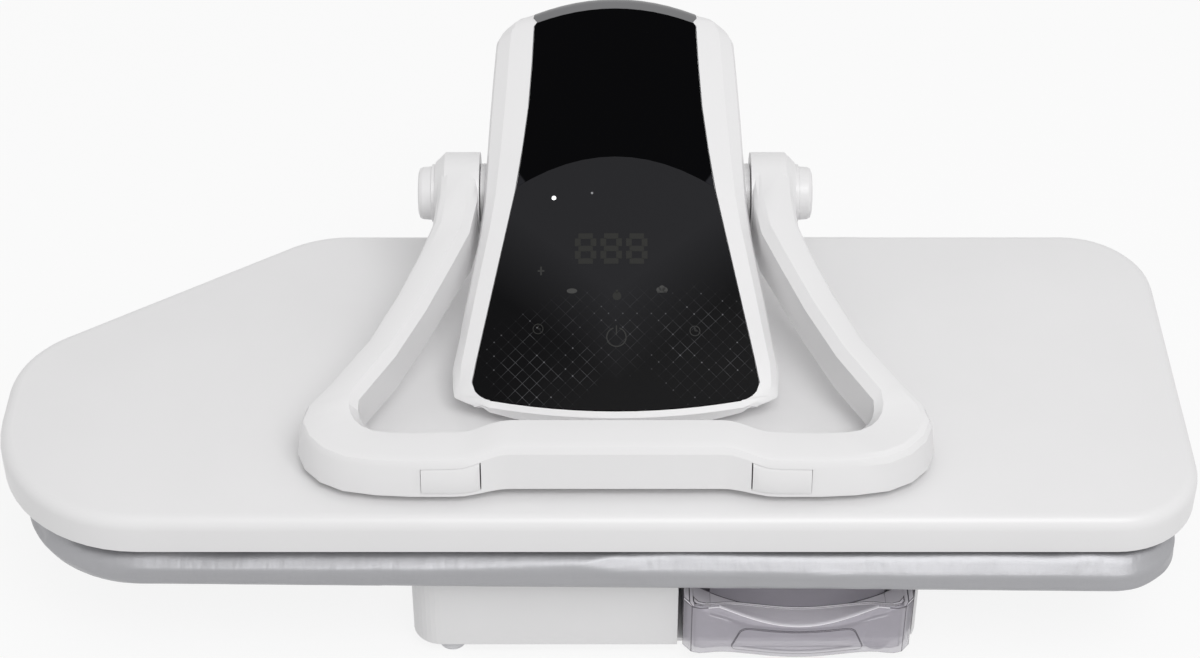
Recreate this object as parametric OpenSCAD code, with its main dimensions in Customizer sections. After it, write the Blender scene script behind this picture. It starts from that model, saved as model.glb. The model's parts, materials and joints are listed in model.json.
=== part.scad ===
// Steam ironing press with a hinged head, a U handle, a padded board and a pull-out water tank
// Millimetres, Z up, front towards minus Y, the floor at Z 0

/* [Plate] */
// Width of the hot plate cover, nose to right end
plate_w = 812; // [760:1:860]
// Depth of the hot plate cover, front to back
plate_d = 308; // [285:1:335]
// Height of the hot plate cover with the sole inside it
plate_h = 28; // [26:1:34]
// Corner radius at the right end
plate_r = 60; // [45:1:80]
// Front corner radius at the nose
nose_r = 105; // [90:1:115]
// Tip radius at the back of the nose
tip_r = 70; // [60:1:80]
// Length of the tapered nose, from its tip to where the back edge turns
taper_l = 200; // [185:1:215]
// Angle of the taper at the nose
taper_a = 34.4; // [30:0.2:37]
// Rounding along the top edge of the plate cover
plate_edge = 9; // [6:1:12]
// Wall of the plate cover
plate_wall = 2.5; // [2:0.1:3]
// Thickness of the cast sole
sole_t = 7; // [6:0.5:9]
// Bore of the steam holes
steam_d = 3; // [2:0.5:4]
// Diameter of the tubular heater
heater_d = 8; // [6:0.5:9]

/* [Board] */
// Height of the padded board from pan to cover
board_h = 26; // [22:0.5:30]
// Gap between the board and the sole when shut
plate_gap = 3; // [2:0.5:6]
// How far the board stands in from the plate outline
board_in = 15.5; // [10:0.5:18]
// How far the board reaches past the plate at its front right corner
board_over = 8.5; // [4:0.5:12]
// Thickness of the sheet metal pan
pan_t = 3; // [2:0.5:4]
// Thickness of the cover cloth
cloth_t = 1.2; // [1:0.1:1.6]
// Rounding of the padded edge
pad_edge = 11; // [8:1:13]
// Crown of the pad in its middle
pad_crown = 1.2; // [0.5:0.1:1.8]

/* [Base] */
// Width of the base casing
base_w = 348; // [330:1:362]
// Centre of the base casing to the right of the plate centre
base_x = 49; // [42:1:58]
// Height of the base casing
base_h = 73; // [70:1:80]
// How far the casing front stands behind the plate front
base_back = 15; // [12:1:25]
// Height of the rubber feet
foot_h = 11; // [9:1:14]
// Diameter of the rubber feet
foot_d = 20; // [16:1:26]
// Wall of the base casing
base_wall = 3; // [2.5:0.5:4]
// Corner radius of the casing in plan
base_r = 20; // [14:1:26]
// How far the base reaches behind the plate
rear_reach = 74; // [72:0.5:84]

/* [Water tank] */
// Outer width of the tank
tank_w = 156; // [142:1:158]
// Length of the tank from its front corners to its back
tank_l = 146; // [130:1:150]
// Height of the tank tub
tank_h = 44; // [40:1:46]
// Wall of the tank
tank_wall = 2.5; // [2:0.5:3]
// How far the tank stands out of the casing front
tank_out = 10; // [6:1:12]
// Depth of the dip in the tank front
tank_dip = 14; // [8:1:16]
// How far the tank pulls out
tank_travel = 160; // [150:1:180]

/* [Head] */
// Centre of the head to the right of the plate centre
head_x = 15; // [5:1:25]
// Lower edge of the control panel behind the plate front
panel_y0 = 91; // [86:1:96]
// Lower edge of the control panel above the plate
panel_z0 = 16; // [14:1:20]
// Upper edge of the control panel behind the plate front
panel_y1 = 341.7; // [335:1:345]
// Upper edge of the control panel above the plate
panel_z1 = 176.1; // [170:1:180]
// Bow of the panel along its length
panel_bow = 5; // [2:0.5:8]
// Crown of the panel across its width
panel_crown = 5; // [3:0.5:7]
// Thickness of the panel lens
lens_t = 2.2; // [1.8:0.1:3]
// Wall of the head shell
head_wall = 3; // [2.5:0.5:4]
// Place of the curved split in the panel, as a part of its length
split_at = 0.614; // [0.55:0.002:0.65]

/* [Handle] */
// Pivot of the handle behind the plate front
pivot_y = 256; // [252:1:260]
// Pivot of the handle above the plate
pivot_z = 76; // [72:1:80]
// Diameter of the handle shaft
shaft_d = 16; // [14:1:18]
// Radius of the round bosses on the handle
boss_r = 29; // [27:1:32]
// Wall of the handle shell
grip_wall = 3; // [2.5:0.5:3.5]
// Travel of a steam button
button_travel = 2.5; // [1.5:0.5:3]

/* [Hinge] */
// Rear hinge axis behind the back edge of the plate
hinge_back = 44; // [42:1:48]
// Rear hinge axis below the top of the plate
hinge_drop = 25; // [22:1:28]
// Diameter of the hinge pin
pin_d = 14; // [12:1:16]
// Radius of the barrel at the foot of the head
barrel_r = 26; // [25:1:27]

/* [Hidden] */
$fn = 48;
run_fit = 0.04;
slip = 0.3;
total_d = board_over + plate_d + rear_reach;
front_y = -total_d/2;
pf = front_y + board_over;
pb = pf + plate_d;
deck_z = foot_h + base_h;
pan_z = deck_z + 2;
board_top = pan_z + board_h;
sole_z = board_top + plate_gap;
plate_top = sole_z + plate_h;
gland_out = 4;
base_x0 = base_x - base_w/2;
base_x1 = base_x + base_w/2;
base_y0 = pf + base_back;
base_y1 = total_d/2 - gland_out;
bay_x1 = base_x1 - base_wall - 0.5;
bay_x0 = bay_x1 - tank_w - 6;
bay_top = deck_z - base_wall - 1;
floor_t = 3;
tank_x = bay_x1 - tank_w/2 - 2.5;
tank_y0 = base_y0 - tank_out;
tank_y1 = tank_y0 + tank_l;
tank_z = foot_h + floor_t + 0.8;
bay_y1 = tank_y1 + 6;
hx = head_x;
py = pf + pivot_y;
pz = plate_top + pivot_z;
hy = pb + hinge_back;
hz = plate_top - hinge_drop;
head_gap = 1;
head_z = plate_top + head_gap;

// Small helpers
function unit(v) = v/norm(v);
function flat(l) = [for (a = l) each a];
function ramp(d) = (d + sqrt(d*d + 0.012))/2;

// Corner of a rounded outline, drawn in by d
function corner_arc(a, b, c, r, d, n) =
    let (u = unit(b - a))
    let (v = unit(c - b))
    let (p = [u[1], -u[0]])
    let (q = [v[1], -v[0]])
    let (o = b - r*(p + q)/(1 + p*q))
    let (t = acos(u*v))
    let (s = atan2(p[1], p[0]))
    [for (i = [0:n]) o + (r - d)*[cos(s + t*i/n), sin(s + t*i/n)]];
function xy(c) = [c[0], c[1]];
function outline(cs, d = 0, n = 9) =
    let (k = len(cs))
    flat([for (i = [0:k - 1])
        corner_arc(xy(cs[(i + k - 1)%k]), xy(cs[i]), xy(cs[(i + 1)%k]), cs[i][2], d, n)]);
function drawn_in(cs, d) =
    let (k = len(cs))
    [for (i = [0:k - 1])
        let (u = unit(xy(cs[i]) - xy(cs[(i + k - 1)%k])))
        let (v = unit(xy(cs[(i + 1)%k]) - xy(cs[i])))
        let (p = [u[1], -u[0]])
        let (q = [v[1], -v[0]])
        let (o = xy(cs[i]) - d*(p + q)/(1 + p*q))
        [o[0], o[1], cs[i][2] - d]];
function at_z(pts, z) = [for (p = pts) [p[0], p[1], z]];
function box_corners(x0, y0, x1, y1, r) = [[x0, y0, r], [x1, y0, r], [x1, y1, r], [x0, y1, r]];

// Skin over rings of equal length, each ring counter-clockwise and the stack going up
module loft(rings) {
    n = len(rings[0]);
    m = len(rings);
    sides = [for (j = [0:m - 2]) for (i = [0:n - 1]) each [
        [j*n + i, (j + 1)*n + i, (j + 1)*n + (i + 1)%n],
        [j*n + i, (j + 1)*n + (i + 1)%n, j*n + (i + 1)%n]]];
    low = [for (i = [0:n - 1]) i];
    top = [for (i = [n - 1:-1:0]) (m - 1)*n + i];
    polyhedron(flat(rings), concat(sides, [low], [top]), convexity = 8);
}

// Skin over rings made of an outer path and an inner path of equal length, ends closed strip by strip
module channel(outer, inner) {
    k = len(outer[0]);
    n = 2*k;
    m = len(outer);
    pts = flat([for (j = [0:m - 1]) concat(outer[j], [for (i = [k - 1:-1:0]) inner[j][i]])]);
    sides = [for (j = [0:m - 2]) for (i = [0:n - 1]) each [
        [j*n + i, (j + 1)*n + i, (j + 1)*n + (i + 1)%n],
        [j*n + i, (j + 1)*n + (i + 1)%n, j*n + (i + 1)%n]]];
    e = (m - 1)*n;
    caps = [for (i = [0:k - 2]) each [
        [i, i + 1, n - 2 - i],
        [i, n - 2 - i, n - 1 - i],
        [e + i, e + n - 2 - i, e + i + 1],
        [e + i, e + n - 1 - i, e + n - 2 - i]]];
    polyhedron(pts, concat(sides, caps), convexity = 10);
}
module prism(pts, z0, z1) {
    translate([0, 0, z0])
        linear_extrude(z1 - z0)
            polygon(pts);
}
module rod_x(x0, x1, y, z, r) {
    translate([x0, y, z])
        rotate([0, 90, 0])
            cylinder(h = x1 - x0, r = r);
}
module rod_y(x, y0, y1, z, r) {
    translate([x, y0, z])
        rotate([-90, 0, 0])
            cylinder(h = y1 - y0, r = r);
}
module rod_z(x, y, z0, z1, r) {
    translate([x, y, z0])
        cylinder(h = z1 - z0, r = r);
}
module block(x0, x1, y0, y1, z0, z1) {
    translate([x0, y0, z0])
        cube([x1 - x0, y1 - y0, z1 - z0]);
}
// Pan head screw, head up, its seat at z
module screw(x, y, z, d, l) {
    translate([x, y, z])
        difference() {
            union() {
                cylinder(h = d*0.55, r1 = d*0.95, r2 = d*0.7, $fn = 24);
                translate([0, 0, -l])
                    cylinder(h = l + 0.1, r = d/2, $fn = 24);
            }
            for (a = [0, 90])
                rotate([0, 0, a])
                    translate([-d*0.5, -d*0.1, d*0.25])
                        cube([d, d*0.2, d]);
        }
}

// Plan of the plate cover and of the board under it
taper_x = plate_w/2 - taper_l;
tip_y = pb - taper_l*tan(taper_a);
plate_plan = [
    [-plate_w/2, pf, nose_r],
    [plate_w/2, pf, plate_r],
    [plate_w/2, pb, plate_r],
    [-taper_x, pb, 80],
    [-plate_w/2, tip_y, tip_r]];
board_inset = drawn_in(plate_plan, board_in);
board_plan = [
    [board_inset[0][0], pf, board_inset[0][2]],
    [board_inset[1][0], front_y, board_inset[1][2]],
    board_inset[2],
    board_inset[3],
    board_inset[4]];

// Hot plate
module shoe_cover() {
    n = 14;
    z0 = sole_z + 0.5;
    ri = plate_edge - plate_wall;
    it = plate_top - plate_wall;
    inner = concat(
        [for (a = [90:-22.5:0])
            at_z(outline(plate_plan, plate_wall + ri*(1 - cos(a)), n), it - ri*(1 - sin(a)))],
        [at_z(outline(plate_plan, plate_wall, n), z0)]);
    outer = concat(
        [at_z(outline(plate_plan, 0, n), z0)],
        [for (a = [0:18:90])
            at_z(outline(plate_plan, plate_edge*(1 - cos(a)), n), plate_top - plate_edge*(1 - sin(a)))]);
    color("white")
        difference() {
            loft(concat(inner, outer));
            for (p = foot_posts)
                rod_z(p[0], p[1], it - 2, plate_top + 1, post_r + 0.5);
            rod_z(inlet_x, inlet_y, it - 2, plate_top + 1, 9);
            block(hx - 90, hx - 66, mid_y - 12, mid_y + 12, it - 2, plate_top + 1);
        }
}
mid_y = pf + plate_d*0.5;
post_r = 7;
foot_posts = [for (sx = [-1, 1]) for (sy = [-1, 1]) [hx + sx*40, mid_y + sy*24]];
inlet_x = hx + 64;
inlet_y = mid_y + 20;
sole_top = sole_z + sole_t;
loop_r = 60;
loop_x0 = -plate_w/2 + 158;
loop_x1 = plate_w/2 - 106;
module heater_path(r) {
    for (s = [-1, 1])
        rod_x(loop_x0, s < 0 ? loop_x1 : hx - 100, mid_y + s*loop_r, sole_top, r);
    rod_x(hx + 130, loop_x1, mid_y + loop_r, sole_top, r);
    translate([loop_x0, mid_y, sole_top])
        rotate([0, 0, 90])
            rotate_extrude(angle = 180)
                translate([loop_r, 0])
                    circle(r);
    translate([loop_x1, mid_y, sole_top])
        rotate([0, 0, -90])
            rotate_extrude(angle = 180)
                translate([loop_r, 0])
                    circle(r);
}
module heater() {
    color("dimgray")
        union() {
            heater_path(heater_d/2);
            for (x = [hx - 100, hx + 130]) {
                rod_z(x, mid_y + loop_r, sole_top, sole_top + 9, heater_d/2);
                rod_z(x, mid_y + loop_r, sole_top + 8, sole_top + 14, 2);
            }
        }
}
module sole() {
    rows = 6;
    pitch_x = 62;
    pitch_y = 40;
    lip = plate_wall + 1.5;
    color("silver")
        difference() {
            prism(outline(plate_plan, lip), sole_z, sole_top);
            heater_path(heater_d/2 + 0.05);
            for (j = [0:rows - 1])
                for (i = [-5:5]) {
                    x = i*pitch_x + (j%2)*pitch_x/2;
                    y = mid_y + (j - (rows - 1)/2)*pitch_y + 4;
                    room = y - pb < -(plate_r/2 + lip) - max(0, -x - taper_x)*tan(taper_a);
                    if (room && x > -plate_w/2 + 76 && x < plate_w/2 - 56)
                        rod_z(x, y, sole_z - 1, sole_top + 1, steam_d/2, $fn = 16);
                }
        }
}
chamber_h = 9;
module steam_chamber() {
    cx = inlet_x + 70;
    color("gainsboro")
        difference() {
            union() {
                prism(outline(box_corners(inlet_x - 10, mid_y - 46, cx + 60, mid_y + 46, 9)),
                    sole_top, sole_top + chamber_h);
                rod_z(inlet_x, inlet_y, sole_top + chamber_h - 1, plate_top + 6, hose_r - 1.55);
            }
            prism(outline(box_corners(inlet_x - 7, mid_y - 43, cx + 57, mid_y + 43, 7)),
                sole_top - 1, sole_top + chamber_h - 3);
            rod_z(inlet_x, inlet_y, sole_top, plate_top + 7, 1.8);
        }
}
pad_z = sole_top + heater_d/2 + 0.3;
pad_t = 3;
module insulation() {
    color("lightgray")
        difference() {
            prism(outline(plate_plan, plate_wall + 9), pad_z, pad_z + pad_t);
            prism(outline(box_corners(inlet_x - 11, mid_y - 47, inlet_x + 131, mid_y + 47, 9)),
                pad_z - 1, pad_z + 5);
            for (p = foot_posts)
                rod_z(p[0], p[1], pad_z - 1, pad_z + 5, post_r + 1);
            for (x = [hx - 100, hx + 130])
                rod_z(x, mid_y + loop_r, pad_z - 1, pad_z + 5, heater_d/2 + 1);
            rod_z(hx - 130, mid_y, pad_z - 1, pad_z + 5, 13);
        }
}
module thermostat() {
    color("dimgray")
        union() {
            rod_z(hx - 130, mid_y, sole_top, sole_top + 5, 11);
            rod_z(hx - 130, mid_y, sole_top + 4, sole_top + 9, 8);
            for (s = [-1, 1])
                block(hx - 130 + s*4 - 0.4, hx - 130 + s*4 + 0.4, mid_y - 2.5, mid_y + 2.5,
                    sole_top + 8, sole_top + 14);
        }
}
bridge_z = pad_z + pad_t + 0.5;
module shoe_bracket() {
    color("slategray")
        difference() {
            union() {
                prism(outline(box_corners(hx - 52, mid_y - 36, hx + 52, mid_y + 36, 8)),
                    bridge_z, bridge_z + 2.5);
                for (p = foot_posts)
                    rod_z(p[0], p[1], sole_top, frame_z, post_r);
            }
            for (p = foot_posts)
                rod_z(p[0], p[1], frame_z - 14, frame_z + 1, 2.5, $fn = 24);
        }
}
module shoe_screws() {
    color("gray")
        for (p = foot_posts)
            screw(p[0], p[1], frame_z + 4, 5 - 2*run_fit, 15);
}

// Board
module board_pan() {
    color("lightsteelblue")
        difference() {
            prism(outline(board_plan, cloth_t + 0.2), pan_z, pan_z + pan_t);
            for (i = [0:1]) {
                x0 = i == 0 ? board_plan[0][0] + 90 : base_x1 + 30;
                x1 = i == 0 ? base_x0 - 30 : board_plan[1][0] - 60;
                for (k = [0:3])
                    prism(outline(box_corners(x0, mid_y - 62 + k*28, x1, mid_y - 54 + k*28, 3.9), 0, 4),
                        pan_z - 1, pan_z + 9);
            }
        }
}
function pad_ring(d, z) = at_z(outline(board_plan, d), z);
module board_pad() {
    d0 = cloth_t + 0.1;
    z0 = pan_z + pan_t;
    z1 = board_top - cloth_t;
    r = pad_edge - cloth_t;
    color("beige")
        loft(concat(
            [pad_ring(d0 + 1.5, z0)],
            [for (a = [0:18:90]) pad_ring(d0 + r*(1 - cos(a)), z1 - r*(1 - sin(a)))],
            [pad_ring(d0 + 30, z1 + pad_crown*0.7)],
            [pad_ring(d0 + 40, z1 + pad_crown)]));
}
module board_cover() {
    c = cloth_t;
    z1 = board_top;
    zi = board_top - c + 0.1;
    ri = pad_edge - c;
    hem = 14;
    inner = concat(
        [pad_ring(c + 40, zi + pad_crown)],
        [pad_ring(c + 30, zi + pad_crown*0.7)],
        [for (a = [90:-18:0]) pad_ring(c + ri*(1 - cos(a)), zi - ri*(1 - sin(a)))],
        [pad_ring(c, pan_z - 0.1)],
        [pad_ring(hem, pan_z - 0.1)]);
    outer = concat(
        [pad_ring(hem, pan_z - 0.1 - c)],
        [pad_ring(2.2, pan_z - 0.1 - c)],
        [pad_ring(0.4, pan_z + 1)],
        [for (a = [0:18:90]) pad_ring(pad_edge*(1 - cos(a)), z1 - pad_edge*(1 - sin(a)))],
        [pad_ring(c + 30, z1 + pad_crown*0.7)],
        [pad_ring(c + 40, z1 + pad_crown)]);
    color("gainsboro")
        loft(concat(inner, outer));
}

// Base
base_plan = box_corners(base_x0, base_y0, base_x1, base_y1, base_r);
gland_x = base_x0 + 60;
gland_z = foot_h + 34;
coupling_x = tank_x - 30;
coupling_z = tank_z + 20;
slot_w = 24;
screw_spots = [
    [base_x0 + 18, base_y0 + 70],
    [base_x0 + 18, base_y1 - 70],
    [base_x1 - 18, bay_y1 + 40],
    [base_x1 - 18, base_y1 - 70]];
foot_spots = [
    [base_x0 + 27, base_y0 + 13.5],
    [base_x1 - 27, base_y0 + 13.5],
    [base_x0 + 27, base_y1 - 25],
    [base_x1 - 27, base_y1 - 25]];
deck_pads = [
    [base_x0 + 40, base_y0 + 40],
    [base_x1 - 40, base_y0 + 40],
    [base_x0 + 40, pb - 50],
    [base_x1 - 40, pb - 50]];
module base_casing() {
    w = base_wall;
    color("white")
        difference() {
            union() {
                difference() {
                    prism(outline(base_plan), foot_h, deck_z);
                    prism(outline(base_plan, w), foot_h - 1, deck_z - w);
                    block(bay_x0, bay_x1, base_y0 - 1, base_y0 + base_r, foot_h - 1, bay_top);
                }
                block(bay_x0 - w, bay_x0, base_y0 + 1, bay_y1 + w, foot_h + floor_t + slip, deck_z - 1);
                block(bay_x0 - w, base_x1 - 1, bay_y1, bay_y1 + w, foot_h + floor_t + slip, deck_z - 1);
                for (p = deck_pads)
                    rod_z(p[0], p[1], deck_z - 1, pan_z, 12);
                for (p = screw_spots)
                    rod_z(p[0], p[1], foot_h + floor_t + slip, deck_z - 1, 6);
            }
            for (p = screw_spots)
                rod_z(p[0], p[1], foot_h, foot_h + 20, 2, $fn = 24);
            rod_y(coupling_x, bay_y1 - 1, bay_y1 + w + 1, coupling_z, 11);
            rod_y(gland_x, base_y1 - w - 1, base_y1 + 1, gland_z, 9);
            for (i = [0:7])
                block(base_x + 30 + i*9, base_x + 34 + i*9, base_y1 - w - 1, base_y1 + 1,
                    foot_h + 24, foot_h + 52);
            block(hx - 20, hx + 20, hy - 10, hy + 10, deck_z - w - 1, deck_z + 1);
            for (p = bracket_bolts)
                rod_z(p[0], p[1], deck_z - w - 1, deck_z + 1, 2.6, $fn = 24);
        }
}
module base_bottom() {
    w = base_wall + slip;
    color("whitesmoke")
        difference() {
            prism(outline(base_plan, w), foot_h, foot_h + floor_t);
            for (p = screw_spots)
                rod_z(p[0], p[1], foot_h - 1, foot_h + floor_t + 1, 2.2, $fn = 24);
            for (p = screw_spots)
                rod_z(p[0], p[1], foot_h - 1, foot_h + 1.8, 4.5, $fn = 24);
            for (p = foot_spots)
                rod_z(p[0], p[1], foot_h - 1, foot_h + floor_t + 1, 3, $fn = 24);
            for (i = [0:8])
                block(base_x0 + 60, base_x0 + 120, bay_y1 + 40 + i*9, bay_y1 + 44 + i*9,
                    foot_h - 1, foot_h + floor_t + 1);
        }
}
module rubber_feet() {
    color("dimgray")
        for (p = foot_spots)
            translate([p[0], p[1], 0])
                rotate_extrude()
                    polygon([[0, 0], [foot_d/2 - 3, 0], [foot_d/2 - 1, 1], [foot_d/2, 3],
                        [foot_d/2 - 1, foot_h],
                        [2.95, foot_h], [2.95, foot_h + floor_t - 0.5], [2.45, foot_h + floor_t],
                        [0, foot_h + floor_t]]);
}
module base_screws() {
    color("gray")
        for (p = screw_spots)
            translate([p[0], p[1], foot_h + 1.8])
                rotate([180, 0, 0])
                    screw(0, 0, 0, 3.9, 14);
}
pump_x = base_x0 + 70;
pump_y = base_y0 + 75;
pump_z = coupling_z;
module pump() {
    color("dimgray")
        union() {
            block(pump_x - 22, pump_x + 22, pump_y - 18, pump_y + 18, pump_z - 16, pump_z + 18);
            rod_y(pump_x, pump_y + 17, pump_y + 40, pump_z, 10);
            rod_y(pump_x, pump_y + 39, pump_y + 60, pump_z, hose_r - 1.55);
            rod_y(pump_x, pump_y - 40, pump_y - 17, pump_z, 11);
            for (s = [-1, 1])
                rod_z(pump_x + s*14, pump_y, foot_h + floor_t, pump_z - 15, 6);
        }
}
hose_r = 5;
turn_r = 16;
module bend(x, y, z, a) {
    translate([x, y, z])
        rotate([0, 0, a])
            rotate_extrude(angle = 90)
                translate([turn_r, 0])
                    difference() {
                        circle(hose_r);
                        circle(hose_r - 1.5);
                    }
}
module tube_x(x0, x1, y, z) {
    difference() {
        rod_x(x0, x1, y, z, hose_r);
        rod_x(x0 - 1, x1 + 1, y, z, hose_r - 1.5);
    }
}
module tube_y(x, y0, y1, z) {
    difference() {
        rod_y(x, y0, y1, z, hose_r);
        rod_y(x, y0 - 1, y1 + 1, z, hose_r - 1.5);
    }
}
module feed_hose() {
    hz0 = coupling_z;
    ty = bay_y1 + base_wall + 24 + turn_r;
    color("lightgray")
        union() {
            tube_y(coupling_x, bay_y1 + base_wall + 12, ty - turn_r, hz0);
            bend(coupling_x - turn_r, ty - turn_r, hz0, 0);
            tube_x(pump_x + turn_r, coupling_x - turn_r, ty, hz0);
            bend(pump_x + turn_r, ty - turn_r, hz0, 90);
            tube_y(pump_x, pump_y + 44, ty - turn_r, hz0);
        }
}
module tank_coupling() {
    color("dimgray")
        difference() {
            union() {
                rod_y(coupling_x, bay_y1 - 4, bay_y1 - 0.1, coupling_z, 14);
                rod_y(coupling_x, bay_y1 - 1, bay_y1 + base_wall + 8, coupling_z, 10.8);
                rod_y(coupling_x, bay_y1 + base_wall + 7, bay_y1 + base_wall + 24, coupling_z, hose_r - 1.55);
            }
            rod_y(coupling_x, bay_y1 - 5, bay_y1 + 5, coupling_z, 5.6);
            rod_y(coupling_x, bay_y1, bay_y1 + base_wall + 25, coupling_z, 1.8);
        }
}
module power_board() {
    x0 = base_x0 + 30;
    y0 = base_y1 - 110;
    z0 = foot_h + floor_t + 8;
    color("darkgreen")
        union() {
            block(x0, x0 + 100, y0, y0 + 70, z0, z0 + 1.6);
            for (i = [0:1])
                for (j = [0:1])
                    rod_z(x0 + 6 + i*88, y0 + 6 + j*58, foot_h + floor_t, z0 + 0.5, 3.5);
            block(x0 + 14, x0 + 44, y0 + 20, y0 + 46, z0 + 1, z0 + 24);
            block(x0 + 54, x0 + 74, y0 + 38, y0 + 54, z0 + 1, z0 + 17);
            rod_z(x0 + 62, y0 + 20, z0 + 1, z0 + 22, 8);
            rod_z(x0 + 82, y0 + 20, z0 + 1, z0 + 16, 5);
        }
}
module cord_inlet() {
    color("dimgray")
        difference() {
            union() {
                rod_y(gland_x, base_y1 + 0.05, base_y1 + gland_out, gland_z, 13);
                rod_y(gland_x, base_y1 - 12, base_y1 + 1, gland_z, 8.9);
            }
            rod_y(gland_x, base_y1 - 13, base_y1 + gland_out + 1, gland_z, 4);
        }
}

// Rear hinge
cheek_x = 80;
cheek_t = 4;
bracket_bolts = [for (sx = [-1, 1]) for (sy = [-1, 1]) [hx + sx*66, hy + sy*18]];
bracket_t = 3;
module hinge_bracket() {
    x1 = cheek_x + cheek_t;
    color("slategray")
        difference() {
            union() {
                block(hx - x1, hx + x1, hy - 25, hy + 25, deck_z, deck_z + bracket_t);
                for (s = [0, 1])
                    mirror([s, 0, 0])
                        translate([(s == 0 ? hx : -hx) + cheek_x, 0, 0]) {
                            block(0, cheek_t, hy - 18, hy + 18, deck_z, hz);
                            rod_x(0, cheek_t, hy, hz, 18);
                        }
            }
            rod_x(hx - x1 - 1, hx + x1 + 1, hy, hz, pin_d/2);
            block(hx - 20, hx + 20, hy - 10, hy + 10, deck_z - 1, deck_z + bracket_t + 1);
            for (p = bracket_bolts)
                rod_z(p[0], p[1], deck_z - 1, deck_z + bracket_t + 1, 2.6, $fn = 24);
        }
}
module bracket_screws() {
    color("gray")
        for (p = bracket_bolts)
            translate([p[0], p[1], deck_z - base_wall])
                rotate([180, 0, 0])
                    screw(0, 0, 0, 5, 6 + bracket_t - 1);
}
module hinge_pin() {
    e = cheek_x + cheek_t + 6;
    color("silver")
        union() {
            rod_x(hx - e, hx + e, hy, hz, pin_d/2);
            rod_x(hx + cheek_x + cheek_t, hx + e + 2, hy, hz, pin_d/2 + 3);
            rod_x(hx - e - 2, hx - cheek_x - cheek_t, hy, hz, pin_d/2 + 3);
        }
}
ear_x0 = 77.5;
ear_x1 = 104;
ear_r = 26;
module ear_solid(g) {
    rod_x(0, ear_x1 - ear_x0 - 2*g, hy, hz, ear_r - g);
    block(0, ear_x1 - ear_x0 - 2*g, hy - ear_r + g, hy + ear_r - g, deck_z, hz);
}
module hinge_ears() {
    w = 2;
    color("white")
        for (s = [0, 1])
            mirror([s, 0, 0])
                translate([(s == 0 ? hx : -hx) + ear_x0, 0, 0])
                    difference() {
                        ear_solid(0);
                        translate([w, 0, -1])
                            ear_solid(w);
                        translate([-1, 0, 0])
                            rod_x(0, w + 2, hy, hz, pin_d/2 + 1);
                        block(-1, cheek_x + cheek_t - ear_x0 + 0.3, hy - 25.5, hy + 25.5,
                            deck_z - 1, deck_z + bracket_t + 0.3);
                    }
}
// Wire of a torsion spring, wound about X
module coil(x0, turns, pitch, r, w) {
    sides = 6;
    steps = 16;
    n = turns*steps;
    rings = [for (i = [0:n]) [for (k = [0:sides - 1])
        let (a = 360*i/steps)
        let (b = 360*k/sides)
        let (q = r + w*cos(b))
        [x0 + pitch*i/steps + w*sin(b), hy + q*cos(a), hz + q*sin(a)]]];
    loft(rings);
}
module lift_springs() {
    color("dimgray")
        for (s = [-1, 1])
            coil(hx + s*62.3 - 4.5, 3, 3, 12, 1.4);
}

// Water tank, its front wavy in plan
wave = 5.5;
corner_out = 2;
module tank_plan(d, bulge) {
    x0 = tank_x - tank_w/2 + d;
    x1 = tank_x + tank_w/2 - d;
    h = tank_w/2 - d;
    n = 28;
    front = [for (i = [0:n])
        let (t = -1 + 2*i/n)
        let (e = max(0, abs(t) - 0.86)/0.14)
        let (hump = pow(max(0, cos(t*115)), 2)*wave)
        let (horn = corner_out*exp(-pow((abs(t) - 0.85)/0.13, 2)))
        [tank_x + h*t, tank_y0 + d - bulge*(hump + horn) + 7*(1 - sqrt(max(0, 1 - e*e)))]];
    polygon(concat(front, [[x1, tank_y1 - d - 6], [x1 - 2, tank_y1 - d - 2], [x1 - 6, tank_y1 - d],
        [x0 + 6, tank_y1 - d], [x0 + 2, tank_y1 - d - 2], [x0, tank_y1 - d - 6]]));
}
dip_w = tank_w/2 - 24;
dip_r = (dip_w*dip_w + tank_dip*tank_dip)/(2*tank_dip);
pull_d = 20;
pad_out = 1;
pull_lip = 9;
tank_top = tank_z + tank_h;
module dip_cut(grow, y0, y1) {
    rod_y(tank_x, y0, y1, tank_top - tank_dip + dip_r, dip_r + grow, $fn = 160);
}
module tank_body() {
    w = tank_wall;
    color("lavender")
        difference() {
            union() {
                difference() {
                    translate([0, 0, tank_z])
                        linear_extrude(tank_h)
                            tank_plan(0, 1);
                    translate([0, 0, tank_z + w])
                        linear_extrude(tank_h)
                            tank_plan(w, 1);
                    dip_cut(0, tank_y0 - 12, tank_y0 + w + 4);
                }
                intersection() {
                    translate([0, 0, tank_z])
                        linear_extrude(tank_h)
                            tank_plan(-pad_out, 1);
                    translate([tank_x, tank_y0 + 1, tank_z + 4])
                        rotate([90, 0, 0])
                            linear_extrude(14)
                                polygon(outline([[-46, 0, 3], [46, 0, 3], [38, 21, 7], [-38, 21, 7]], 0, 6));
                }
                difference() {
                    intersection() {
                        translate([0, 0, tank_z])
                            linear_extrude(tank_h)
                                tank_plan(w/2, 1);
                        block(tank_x - dip_w - 6, tank_x + dip_w + 6, tank_y0 - 12, tank_y0 + pull_d + w,
                            tank_z, tank_top);
                        dip_cut(pull_lip + w, tank_y0 - 12, tank_y0 + pull_d + w);
                    }
                    dip_cut(pull_lip, tank_y0 - 13, tank_y0 + pull_d);
                    block(tank_x - dip_w - 9, tank_x + dip_w + 9, tank_y0 - 13, tank_y0 - 2,
                        tank_z, tank_top + 1);
                }
            }
            rod_y(coupling_x, tank_y1 - w - 1, tank_y1 + 1, coupling_z, 4);
        }
}
fill_x = tank_x + 36;
fill_y = tank_y1 - 34;
fill_r = 15;
lid_t = 2.5;
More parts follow.
